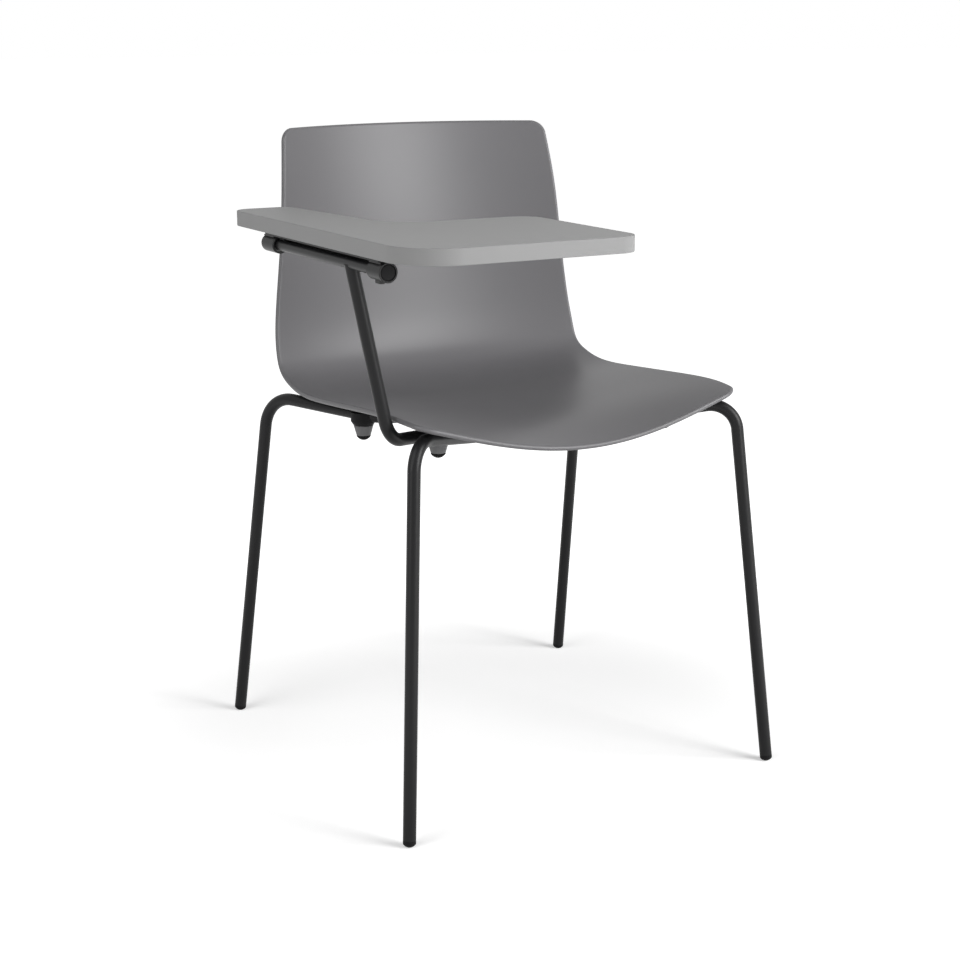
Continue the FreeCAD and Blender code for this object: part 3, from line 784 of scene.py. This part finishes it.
@dataclass
class LegFrames:
    """The two bent tubes that make the legs, with what closes and joins them."""

    tube_radius: float = 8.0
    foot_half_width: float = 266.9
    foot_half_depth: float = 259.2
    tube_end_height: float = 8.0
    cross_height: float = 454.5
    front_corner: tuple[float, float, float] = (-231.3, -212.9, 481.8)
    front_cross: tuple[float, float] = (-101.9, -122.2)
    rear_corner: tuple[float, float, float] = (-245.8, 176.4, 469.4)
    rear_elbow: tuple[float, float, float] = (-171.3, 5.0, 462.7)
    rear_cross: tuple[float, float] = (-75.0, 5.0)
    front_bends: tuple[float, ...] = (34.5, 70.0)
    rear_bends: tuple[float, ...] = (49.5, 30.0, 60.0)
    glide_radius: float = 7.98
    glide_length: float = 8.6
    glide_dome_radius: float = 9.5
    glide_groove: float = 0.4
    glide_plug: float = 5.5
    dome_steps: int = 8
    bar_half_spacing: float = 48.0
    bar_ease: float = 0.5
    bead_radius: float = 2.0
    bead_length: float = 22.0
    bead_ripple: float = 0.25
    bead_ripples: int = 9
    bead_angle: float = 42.0
    bead_lift: float = 1.2
    bead_steps: int = 16

    def __post_init__(self) -> None:
        """Place the corners of both tubes."""
        self.halves = {
            End.FRONT: [
                place(-self.foot_half_width, -self.foot_half_depth, self.tube_end_height),
                place(*self.front_corner),
                place(*self.front_cross, self.cross_height),
            ],
            End.REAR: [
                place(-self.foot_half_width, self.foot_half_depth, self.tube_end_height),
                place(*self.rear_corner),
                place(*self.rear_elbow),
                place(*self.rear_cross, self.cross_height),
            ],
        }

    def half(self, end: End, hand: Hand) -> list[Vector]:
        """The corners of one half of a tube, from its foot to the middle.

        Args:
            end: Which tube it is.
            hand: Which half of it.

        Returns:
            The points.
        """
        points = self.halves[end]
        if hand is Hand.RIGHT:
            return points
        return [Vector((2 * FEET_MIDDLE.x - point.x, point.y, point.z)) for point in points]

    def build(self) -> None:
        """Make both tubes, the glides at their feet and the beads that hold the bars."""
        for end, bends in ((End.FRONT, self.front_bends), (End.REAR, self.rear_bends)):
            points = self.half(end, Hand.RIGHT) + self.half(end, Hand.LEFT)[::-1]
            bm = bmesh.new()
            BentTube(points, bends + bends[::-1], self.tube_radius).build(bm)
            word = end.name.lower()
            finished(f"{word}_legs_tube", bm, BLACK_PAINT, Body.CHAIR, [f"{word}_leg_frame"])
            for hand in Hand:
                foot, knee = self.half(end, hand)[:2]
                self.build_glide(corner_name(end, hand), foot, (foot - knee).normalized())
        for hand in Hand:
            word = hand.name.lower()
            eased_copy(f"bar_{word}_eased", f"spine_bar_{word}", BLACK_PAINT, Body.CHAIR, self.bar_ease)
        self.build_beads()

    def build_glide(self, where: str, foot: Vector, way: Vector) -> None:
        """Make the rounded glide at the foot of one leg.

        Args:
            where: Which leg it is.
            foot: The middle of the tube's end.
            way: The direction from the leg to the floor.
        """
        cap = cap_profile(self.glide_radius, self.glide_dome_radius, self.glide_length, self.dome_steps)
        neck = self.glide_radius - self.glide_groove
        profile = [
            (0.0, -self.glide_plug),
            (neck, -self.glide_plug),
            (neck, 0.0),
            (self.glide_radius, self.glide_groove),
            *cap,
        ]
        bm = bmesh.new()
        revolved(bm, profile, foot, way)
        geometry = bm.verts[:] + bm.edges[:] + bm.faces[:]
        cut = bmesh.ops.bisect_plane(
            bm, geom=geometry, plane_co=Vector((0, 0, 0)), plane_no=UP, clear_inner=True
        )["geom_cut"]
        bmesh.ops.contextual_create(bm, geom=edges_of(cut))
        finished(f"glide_{where}", bm, BLACK_PLASTIC, Body.CHAIR, [f"foot_glide_{where}"])

    def build_beads(self) -> None:
        """Make the weld beads where both cross tubes lie on the bars."""
        bm = bmesh.new()
        side = self.tube_radius * math.sin(math.radians(self.bead_angle))
        height = self.cross_height - self.tube_radius + self.bead_lift
        for y in (self.front_cross[1], self.rear_cross[1]):
            for hand in Hand:
                for offset in (-side, side):
                    x = hand.value * self.bar_half_spacing - self.bead_length / 2
                    profile = [(0.0, 0.0)]
                    for step in range(1, 2 * self.bead_ripples):
                        ripple = self.bead_ripple * (1 if step % 2 else -1)
                        far = self.bead_length * step / (2 * self.bead_ripples)
                        profile.append((self.bead_radius + ripple, far))
                    profile.append((0.0, self.bead_length))
                    revolved(bm, profile, place(x, y + offset, height), LEFT, self.bead_steps)
        finished("bar_weld_beads", bm, BLACK_PAINT, Body.CHAIR, smooth_angle=70.0)


@dataclass
class ShellSeats:
    """What the shell rests on: saddles on the tubes, with stacking bumpers and soft tips below."""

    front_spot: tuple[float, float] = (166.0, -150.0)
    rear_spot: tuple[float, float] = (180.0, 25.0)
    front_drop: float = 5.0
    rear_drop: float = 13.0
    grip: float = 4.0
    tube_gap: float = 0.2
    top_radius: float = 12.8
    end_radius: float = 9.2
    height: float = 13.5
    tip_height: float = 6.5
    tip_dome_radius: float = 10.5
    ease: float = 0.7
    end_draft: float = 0.2
    end_ease: float = 0.3
    saddle_ease: float = 0.3
    groove: float = 0.5
    groove_rise: float = 0.3
    dome_steps: int = 8

    def tube_height(self, legs: LegFrames, end: End) -> float:
        """The height of a tube's axis beside a bumper.

        Args:
            legs: The frames that carry the bumpers.
            end: Which tube it is.

        Returns:
            The height in metres.
        """
        start, after = legs.halves[end][1:3]
        way = after - start
        if end is End.REAR:
            share = (place(0, self.rear_spot[1], 0).y - start.y) / way.y
            return start.z + share * way.z
        spot = place(-self.front_spot[0], self.front_spot[1], 0)
        share = ((spot.x - start.x) * way.x + (spot.y - start.y) * way.y) / (way.x ** 2 + way.y ** 2)
        return start.z + share * way.z

    def build(self, legs: LegFrames, shell: MouldedShell) -> None:
        """Make the saddles, bumpers, tips and the shell's bosses.

        Args:
            legs: The frames that carry them.
            shell: The shell that rests on them.
        """
        seats = []
        for end, spot, drop in (
            (End.FRONT, self.front_spot, self.front_drop),
            (End.REAR, self.rear_spot, self.rear_drop),
        ):
            height = self.tube_height(legs, end) / MM
            boss_start = self.grip if end is End.FRONT else legs.tube_radius + self.tube_gap
            for hand in Hand:
                where = corner_name(end, hand)
                x, y = hand.value * spot[0], spot[1]
                seats.append(place(x, y, height + boss_start))
                node = f"saddle_{where}"
                eased_copy(f"{node}_eased", node, BLACK_PLASTIC, Body.CHAIR, self.saddle_ease)
                self.build_bumper(where, place(x, y, height - drop))
        shell.build_bosses(seats)

    def build_bumper(self, where: str, top: Vector) -> None:
        """Make one bumper and its soft tip.

        Args:
            where: Which corner it belongs to.
            top: The middle of its top face.
        """
        ease = self.ease
        cone = (
            (0.0, 0.0),
            (self.top_radius - ease, 0.0),
            (self.top_radius - 0.3 * ease, 0.3 * ease),
            (self.top_radius, ease),
            (self.end_radius + self.end_draft, self.height - ease),
            (self.end_radius - self.end_ease, self.height),
            (0.0, self.height),
        )
        bm = bmesh.new()
        revolved(bm, cone, top, DOWN, FINE_STEPS)
        finished(f"bumper_{where}_cone", bm, BUMPER_PLASTIC, Body.CHAIR, [f"bumper_{where}"])
        tip = [
            (0.0, 0.0),
            (self.end_radius - self.groove, 0.0),
            (self.end_radius - self.groove, self.groove_rise),
            (self.end_radius, 2 * self.groove_rise),
            *cap_profile(self.end_radius, self.tip_dome_radius, self.tip_height, self.dome_steps),
        ]
        bm = bmesh.new()
        revolved(bm, tip, top + DOWN * self.height * MM, DOWN, FINE_STEPS)
        finished(f"tip_{where}_dome", bm, BLACK_RUBBER, Body.CHAIR, [f"bumper_tip_{where}"])


@dataclass
class WritingTablet:
    """The hinged board: laminate faces and an edging that is rounded top and bottom."""

    top_height: float = 719.3
    thickness: float = 19.0
    laminate: float = 0.8
    band: float = 2.0
    glue_gap: float = 0.05
    rim_angle: float = 60.0
    edge_round: float = 0.8
    seam_round: float = 0.3
    outer_x: float = 298.8
    inboard_x: float = 2.5
    front_y: float = 341.0
    rear_y: float = 157.0
    wide_rear_y: float = 93.0
    arm_rear_width: float = 80.0
    arm_front_width: float = 105.0
    corner_radii: tuple[float, ...] = (64.0, 29.0, 30.0, 60.0, 18.0, 24.0)
    corner_step: float = 6.0

    def corners(self) -> list[Vector]:
        """The outline's corners on the top face, anticlockwise from the outer front one."""
        flat = (
            (-self.outer_x, -self.front_y),
            (-self.inboard_x, -self.front_y),
            (-self.inboard_x, -self.wide_rear_y),
            (self.arm_front_width - self.outer_x, -self.wide_rear_y),
            (self.arm_rear_width - self.outer_x, self.rear_y),
            (-self.outer_x, self.rear_y),
        )
        return [place(x, y, self.top_height) for x, y in flat]

    def outline(self, bm: BMesh) -> BMFace:
        """Add the outline as one face, each corner a vertex that is spun about its arc's centre.

        Args:
            bm: The mesh.

        Returns:
            The face.
        """
        corners = self.corners()
        ends = []
        for index, (corner, radius) in enumerate(zip(corners, self.corner_radii)):
            before = (corners[index - 1] - corner).normalized()
            after = (corners[(index + 1) % len(corners)] - corner).normalized()
            half = before.angle(after) / 2
            reach = radius / math.tan(half)
            centre = corner + (before + after).normalized() * radius / math.sin(half) * MM
            axis = (-before).cross(after).normalized()
            start = bm.verts.new(corner + before * reach * MM)
            turn = math.pi - 2 * half
            steps = math.ceil(math.degrees(turn) / self.corner_step)
            last = bmesh.ops.spin(
                bm, geom=[start], cent=centre, axis=axis, angle=turn, steps=steps
            )["geom_last"]
            ends.append((start, verts_of(last)[0]))
        for index, (_, last) in enumerate(ends):
            bm.edges.new((last, ends[(index + 1) % len(ends)][0]))
        bmesh.ops.contextual_create(bm, geom=bm.edges[:])
        bmesh.ops.recalc_face_normals(bm, faces=bm.faces[:])
        if bm.faces[0].normal.z < 0:
            bmesh.ops.reverse_faces(bm, faces=bm.faces[:])
        return bm.faces[0]

    def build(self) -> None:
        """Make the board, the edging and both laminate faces."""
        depth = self.thickness - 2 * self.laminate
        self.build_plate("writing_board", "tablet_core", BOARD_WOOD, self.laminate, depth, self.glue_gap)
        self.build_edging()
        for side, lowered in (("top", 0.0), ("underside", self.thickness - self.laminate)):
            word = f"{side}_laminate"
            self.build_plate(f"writing_{word}", f"tablet_{word}", LAMINATE, lowered, self.laminate)

    def build_edging(self) -> None:
        """Make the edging, whose rounded edges are coloured darker than its faces."""
        bm = bmesh.new()
        face = self.outline(bm)
        self.inset(bm, face, self.band)
        bmesh.ops.delete(bm, geom=[face], context="FACES")
        self.deepen(bm, self.thickness)
        for face in rounded_edges(bm, sharp_edges(bm, self.rim_angle), self.edge_round):
            face.material_index = 1
        edging = finished("tablet_edging", bm, EDGING, Body.TABLET, ["tablet_edge_band"])
        edging.data.materials.append(EDGING_DARK_ROUNDS.material())

    def build_plate(
        self, name: str, node: str, finish: Finish, lowered: float, depth: float, gap: float = 0.0
    ) -> None:
        """Make a plate that lies inside the edging.

        Args:
            name: The piece's name.
            node: The solid that it stands for.
            finish: What it is made of.
            lowered: How far its face lies below the tablet's top, in millimetres.
            depth: Its thickness in millimetres.
            gap: What is left free to the edging, in millimetres.
        """
        bm = bmesh.new()
        face = self.outline(bm)
        ring = self.inset(bm, face, self.band + gap)
        bmesh.ops.delete(bm, geom=ring, context="FACES")
        bmesh.ops.translate(bm, verts=bm.verts[:], vec=DOWN * lowered * MM)
        self.deepen(bm, depth)
        rounded_edges(bm, sharp_edges(bm, self.rim_angle), self.seam_round, 2)
        finished(name, bm, finish, Body.TABLET, [node])

    @staticmethod
    def inset(bm: BMesh, face: BMFace, width: float) -> list[BMFace]:
        """Draw a face in by millimetres and give the ring of faces that this makes round it."""
        return bmesh.ops.inset_region(
            bm, faces=[face], thickness=width * MM, use_boundary=True, use_even_offset=True
        )["faces"]

    @staticmethod
    def deepen(bm: BMesh, thickness: float) -> None:
        """Turn flat faces into a closed plate that reaches so many millimetres below them."""
        made = bmesh.ops.extrude_face_region(bm, geom=bm.faces[:], use_keep_orig=True)["geom"]
        bmesh.ops.translate(bm, verts=verts_of(made), vec=DOWN * thickness * MM)


@dataclass
class ScrewHead:
    """A small round head with a driver's socket."""

    radius: float = 3.8
    height: float = 1.9
    socket_radius: float = 1.7
    socket_depth: float = 1.1
    ease: float = 0.6
    steps: int = 24

    def build(self, bm: BMesh, seat: Vector, way: Vector) -> None:
        """Add the head to a mesh.

        Args:
            bm: The mesh.
            seat: The middle of the face that it lies on.
            way: The direction that it stands out in.
        """
        floor = self.height - self.socket_depth
        profile = (
            (0.0, 0.0),
            (self.radius, 0.0),
            (self.radius, self.height - 2 * self.ease),
            (self.radius - self.ease, self.height - 0.5 * self.ease),
            (self.radius - 2 * self.ease, self.height),
            (self.socket_radius, self.height),
            (self.socket_radius, floor),
            (0.0, floor),
        )
        revolved(bm, profile, seat, way, self.steps)


@dataclass
class HingeArm:
    """The post that rises past the seat, and the rod at its top that the tablet turns on."""

    hinge: tuple[float, float, float] = (-287.2, -168.0, 686.6)
    corner: tuple[float, float, float] = (-241.1, -168.0, 473.7)
    cross_y: float = -79.5
    cross_right: float = -99.5
    cross_left: float = 68.0
    bends: tuple[float, ...] = (35.0, 70.0)
    rod_radius: float = 6.5
    rod_front: float = -259.0
    rod_rear: float = 61.0
    rod_ease: float = 0.6
    clamp_height: float = 448.0
    clamp_ease: float = 0.3
    clamp_screw_offset: float = 14.7
    plug_ease: float = 0.4
    screw: ScrewHead = field(default_factory=ScrewHead)

    def build(self, legs: LegFrames) -> None:
        """Make the arm's tube and plug, the rod, and the clamps with their screws.

        Args:
            legs: The frames that the arm's tube is clamped beside.
        """
        cross = [place(x, self.cross_y, legs.cross_height) for x in (self.cross_right, self.cross_left)]
        bm = bmesh.new()
        points = [place(*self.hinge), place(*self.corner), *cross]
        BentTube(points, self.bends, legs.tube_radius).build(bm)
        finished("arm_bent_tube", bm, BLACK_PAINT, Body.CHAIR, ["arm_tube"])
        self.build_rod()
        screws = bmesh.new()
        for hand in Hand:
            word = hand.name.lower()
            node = f"arm_clamp_{word}"
            eased_copy(f"clamp_{word}_eased", node, BLACK_PAINT, Body.CHAIR, self.clamp_ease)
            for offset in (-self.clamp_screw_offset, self.clamp_screw_offset):
                x = hand.value * legs.bar_half_spacing
                self.screw.build(screws, place(x, self.cross_y + offset, self.clamp_height), UP)
        finished("clamp_screws", screws, BLACK_PAINT, Body.CHAIR)
        eased_copy("arm_plug_eased", "arm_tube_plug", BLACK_PLASTIC, Body.CHAIR, self.plug_ease)

    def build_rod(self) -> None:
        """Make the rod."""
        length = self.rod_rear - self.rod_front
        profile = (
            (0.0, 0.0),
            (self.rod_radius - self.rod_ease, 0.0),
            (self.rod_radius, self.rod_ease),
            (self.rod_radius, length - self.rod_ease),
            (self.rod_radius - self.rod_ease, length),
            (0.0, length),
        )
        bm = bmesh.new()
        revolved(bm, profile, place(self.hinge[0], self.rod_front, self.hinge[2]), BACK)
        finished("hinge_rod_bar", bm, BLACK_PAINT, Body.CHAIR, ["hinge_rod"])


@dataclass
class HingeKnuckles:
    """The sleeves under the tablet that turn on the rod, with their plate, caps and screws."""

    axis_x: float = HingeArm.hinge[0]
    axis_height: float = HingeArm.hinge[2]
    front_y: float = -262.0
    rear_y: float = 64.0
    length: float = 35.0
    radius: float = 10.65
    ring_radius: float = 11.65
    ring_length: float = 4.0
    bore_radius: float = 8.0
    recess_radius: float = 9.6
    recess_depth: float = 2.5
    cap_radius: float = 9.1
    cap_thickness: float = 2.0
    cap_inset: float = 0.5
    ease: float = 0.5
    chamfer: float = 1.2
    foot_width: float = 14.0
    foot_margin: float = 1.0
    plate_bottom: float = 697.3
    tab_size: tuple[float, float, float] = (6.0, 12.0, 3.6)
    tab_setback: float = 15.0
    tab_sink: float = 1.4
    # Painted shade: a dark rib that fills the gap between the plate and the rod, where the solid plate
    # itself has no rib
    shade_rib_low: tuple[float, float] = (-280.0, 691.0)
    shade_rib_thickness: float = 1.5
    shade_rib_gap: float = 0.5
    shade_rib_ease: float = 0.3
    plate_ease: float = 0.4
    screw_x: float = -262.0
    screw_spots: tuple[float, ...] = (-222.0, -150.0, -20.0, 40.0)
    screw: ScrewHead = field(default_factory=ScrewHead)

    def sleeve(self, end: End) -> list[tuple[float, float]]:
        """The closed profile of a sleeve, from its outer end inwards.

        Args:
            end: Which sleeve it is. The front one has a larger ring at its outer end.

        Returns:
            Radius and distance of each point.
        """
        ease = self.ease
        profile = [(self.recess_radius, 0.0)]
        if end is End.FRONT:
            profile += [
                (self.ring_radius - ease, 0.0),
                (self.ring_radius, ease),
                (self.ring_radius, self.ring_length - ease),
                (self.ring_radius - ease, self.ring_length),
                (self.radius, self.ring_length),
            ]
        else:
            profile += [(self.radius - ease, 0.0), (self.radius, ease)]
        profile += [
            (self.radius, self.length - self.chamfer),
            (self.radius - self.chamfer, self.length),
            (self.bore_radius, self.length),
            (self.bore_radius, self.recess_depth),
            (self.recess_radius, self.recess_depth),
        ]
        return profile

    def build(self) -> None:
        """Make both knuckles with their caps, the plate with its screws, and a dark rib under the plate as
        painted shade in the gap above the rod.
        """
        for end in End:
            self.build_knuckle(end)
        eased_copy("hinge_plate_eased", "hinge_plate", BLACK_PAINT, Body.TABLET, self.plate_ease)
        # Painted shade: a dark rib closes the gap between the plate and the rod, standing in for the shade
        # in that gap
        shade_rib = bmesh.new()
        x, z = self.shade_rib_low
        start = self.front_y + self.length + self.shade_rib_gap
        length = self.rear_y - self.length - self.shade_rib_gap - start
        size = (self.shade_rib_thickness, length, self.plate_bottom - z)
        block(shade_rib, place(x, start, z), size, self.shade_rib_ease)
        finished("hinge_plate_shade_rib", shade_rib, BLACK_PAINT, Body.TABLET)
        screws = bmesh.new()
        for y in self.screw_spots:
            self.screw.build(screws, place(self.screw_x, y, self.plate_bottom), DOWN)
        finished("plate_screws", screws, BLACK_PAINT, Body.TABLET)

    def build_knuckle(self, end: End) -> None:
        """Make a sleeve with the foot that holds it to the plate, and its cap.

        Args:
            end: Which sleeve it is. The front one has a stop tab below.
        """
        front = end is End.FRONT
        y, inward = (self.front_y, BACK) if front else (self.rear_y, -BACK)
        outer = place(self.axis_x, y, self.axis_height)
        bm = bmesh.new()
        revolved(bm, self.sleeve(end), outer, inward, FINE_STEPS, hollow=True)
        low_y = y if front else y - self.length
        foot_low = place(
            self.axis_x - self.foot_width / 2,
            low_y + self.ring_length + self.foot_margin,
            self.axis_height + self.bore_radius + self.foot_margin,
        )
        foot_length = self.length - self.ring_length - 2 * self.foot_margin
        foot_height = self.plate_bottom - foot_low.z / MM
        block(bm, foot_low, (self.foot_width, foot_length, foot_height), self.ease / 2)
        if front:
            width, length, height = self.tab_size
            tab_bottom = self.axis_height - self.radius - height
            tab_low = place(self.axis_x - width / 2, y + self.tab_setback, tab_bottom)
            block(bm, tab_low, (width, length, height + self.tab_sink), self.ease)
        word = end.name.lower()
        finished(f"knuckle_{word}_sleeve", bm, BLACK_PAINT, Body.TABLET, [f"knuckle_{word}"])
        self.build_cap(word, outer, inward)

    def build_cap(self, word: str, outer: Vector, inward: Vector) -> None:
        """Make the disc that closes a sleeve's outer end.

        Args:
            word: Which end it closes.
            outer: The middle of the sleeve's outer end.
            inward: The direction into the sleeve.
        """
        profile = (
            (0.0, 0.0),
            (self.cap_radius - 2 * self.ease, 0.0),
            (self.cap_radius - self.ease, 0.2 * self.ease),
            (self.cap_radius, self.ease),
            (self.cap_radius, self.cap_thickness),
            (0.0, self.cap_thickness),
        )
        bm = bmesh.new()
        revolved(bm, profile, outer + inward * self.cap_inset * MM, inward, FINE_STEPS)
        finished(f"cap_{word}_disc", bm, BLACK_PLASTIC, Body.TABLET, [f"hinge_cap_{word}"])


@dataclass
class Lamp:
    """One soft square lamp that faces the chair."""

    name: str
    turn: float
    climb: float
    power: float
    size: float
    distance: float = 3.0

    def hang(self, scene: bpy.types.Scene, aim: Vector) -> None:
        """Put the lamp in the scene.

        Args:
            scene: The scene.
            aim: What it faces.
        """
        lamp = bpy.data.lights.new(self.name, "AREA")
        lamp.shape = "SQUARE"
        lamp.size = self.size
        lamp.energy = self.power
        holder = bpy.data.objects.new(self.name, lamp)
        tilt = Euler((-math.radians(self.climb), 0.0, math.radians(self.turn)))
        outward = -BACK
        outward.rotate(tilt)
        holder.location = aim + outward * self.distance
        holder.rotation_euler = (-outward).to_track_quat("-Z", "Y").to_euler()
        scene.collection.objects.link(holder)


@dataclass
class Studio:
    """The pale floor, the lights and the camera of the photograph."""

    camera_place: tuple[float, float, float] = (-1190.35, -2027.4, 960.3)
    camera_pitch: float = 14.104
    camera_yaw: float = 29.757
    lens: float = 69.41
    aim_height: float = 500.0
    floor_half: float = 40.0
    floor_tone: float = 0.8
    near_glow: float = 0.36
    near_radius: float = 0.3
    far_radius: float = 0.95
    world_strength: float = 0.02
    lamps: Sequence[Lamp] = (
        Lamp("key_low", 26.0, 8.0, 41.0, 1.2),
        Lamp("key_middle", 24.0, 24.0, 8.0, 1.6),
        Lamp("key_side", 40.0, 24.0, 76.0, 1.6),
        Lamp("left_high", -75.0, 40.0, 44.0, 2.4),
        Lamp("left_low", -75.0, 8.0, 20.0, 1.2),
    )

    def build(self) -> None:
        """Set the scene's view, world, floor, lamps and camera."""
        scene = bpy.context.scene
        scene.view_settings.view_transform = "Standard"
        self.build_world(scene)
        self.build_floor(scene)
        for lamp in self.lamps:
            lamp.hang(scene, place(0.0, 0.0, self.aim_height))
        camera = bpy.data.cameras.new("camera")
        camera.lens = self.lens
        viewer = bpy.data.objects.new("camera", camera)
        viewer.location = Vector(self.camera_place) * MM
        tilt = math.radians(90.0 - self.camera_pitch)
        viewer.rotation_euler = Euler((tilt, 0.0, -math.radians(self.camera_yaw)))
        scene.collection.objects.link(viewer)
        scene.camera = viewer

    @staticmethod
    def seen(tree: NodeTree) -> NodeSocket:
        """One where the camera, a gloss or a clear surface looks straight at something.

        Args:
            tree: The node tree that asks.

        Returns:
            The output that holds the answer.
        """
        path = add_node(tree, "LightPath", {})
        answer = path.outputs["Is Camera Ray"]
        for kind in ("Is Glossy Ray", "Is Transmission Ray"):
            either = add_node(tree, "Math", {0: answer, 1: path.outputs[kind]}, operation="MAXIMUM")
            answer = either.outputs["Value"]
        return answer

    def build_world(self, scene: bpy.types.Scene) -> None:
        """Surround the scene with even light that is white where it is seen.

        Args:
            scene: The scene.
        """
        world = bpy.data.worlds.new("studio")
        scene.world = world
        world.use_nodes = True
        tree = world.node_tree
        strengths = {"Value": self.seen(tree), "To Min": self.world_strength, "To Max": 1.0}
        level = add_node(tree, "MapRange", strengths)
        white = {"Color": (1.0, 1.0, 1.0, 1.0), "Strength": level.outputs["Result"]}
        feed(tree, tree.nodes["Background"], white)

    def build_floor(self, scene: bpy.types.Scene) -> None:
        """Lay a wide floor that is white where it is seen and keeps a faint shadow near the chair.

        Args:
            scene: The scene.
        """
        bm = bmesh.new()
        bmesh.ops.create_grid(bm, x_segments=1, y_segments=1, size=self.floor_half)
        mesh = bpy.data.meshes.new("floor")
        bm.to_mesh(mesh)
        bm.free()
        floor = bpy.data.objects.new("floor", mesh)
        scene.collection.objects.link(floor)
        material = bpy.data.materials.new("floor")
        material.use_nodes = True
        tree = material.node_tree
        tree.nodes.clear()
        matt = add_node(tree, "BsdfDiffuse", {"Color": (self.floor_tone,) * 3 + (1.0,)})
        coordinates = add_node(tree, "TexCoord", {})
        distance = add_node(tree, "VectorMath", {0: coordinates.outputs["Object"]}, operation="LENGTH")
        glow_by_distance = {
            "Value": distance.outputs["Value"],
            "From Min": self.near_radius,
            "From Max": self.far_radius,
            "To Min": self.near_glow,
        }
        fade = add_node(tree, "MapRange", glow_by_distance, interpolation_type="SMOOTHSTEP")
        factors = {0: fade.outputs["Result"], 1: self.seen(tree)}
        strength = add_node(tree, "Math", factors, operation="MULTIPLY")
        glow = add_node(tree, "Emission", {"Strength": strength.outputs["Value"]})
        both = add_node(tree, "AddShader", {0: matt.outputs["BSDF"], 1: glow.outputs["Emission"]})
        add_node(tree, "OutputMaterial", {"Surface": both.outputs["Shader"]})
        mesh.materials.append(material)


def dress_nodes() -> None:
    """Give every solid that still shows the finish that its record names."""
    slots = {part["node"]: part["material_slot"] for part in frame["record"]["subparts"]}
    for name, node in frame["nodes"].items():
        FINISHES[slots[name]].dress(node)


def main() -> None:
    """Build the chair and the studio round it."""
    logging.basicConfig(level=logging.INFO, format="%(message)s")
    Studio().build()
    dress_nodes()
    legs = LegFrames()
    legs.build()
    shell = MouldedShell()
    shell.build()
    ShellSeats().build(legs, shell)
    HingeArm().build(legs)
    HingeKnuckles().build()
    WritingTablet().build()


if __name__ == "__main__":
    main()
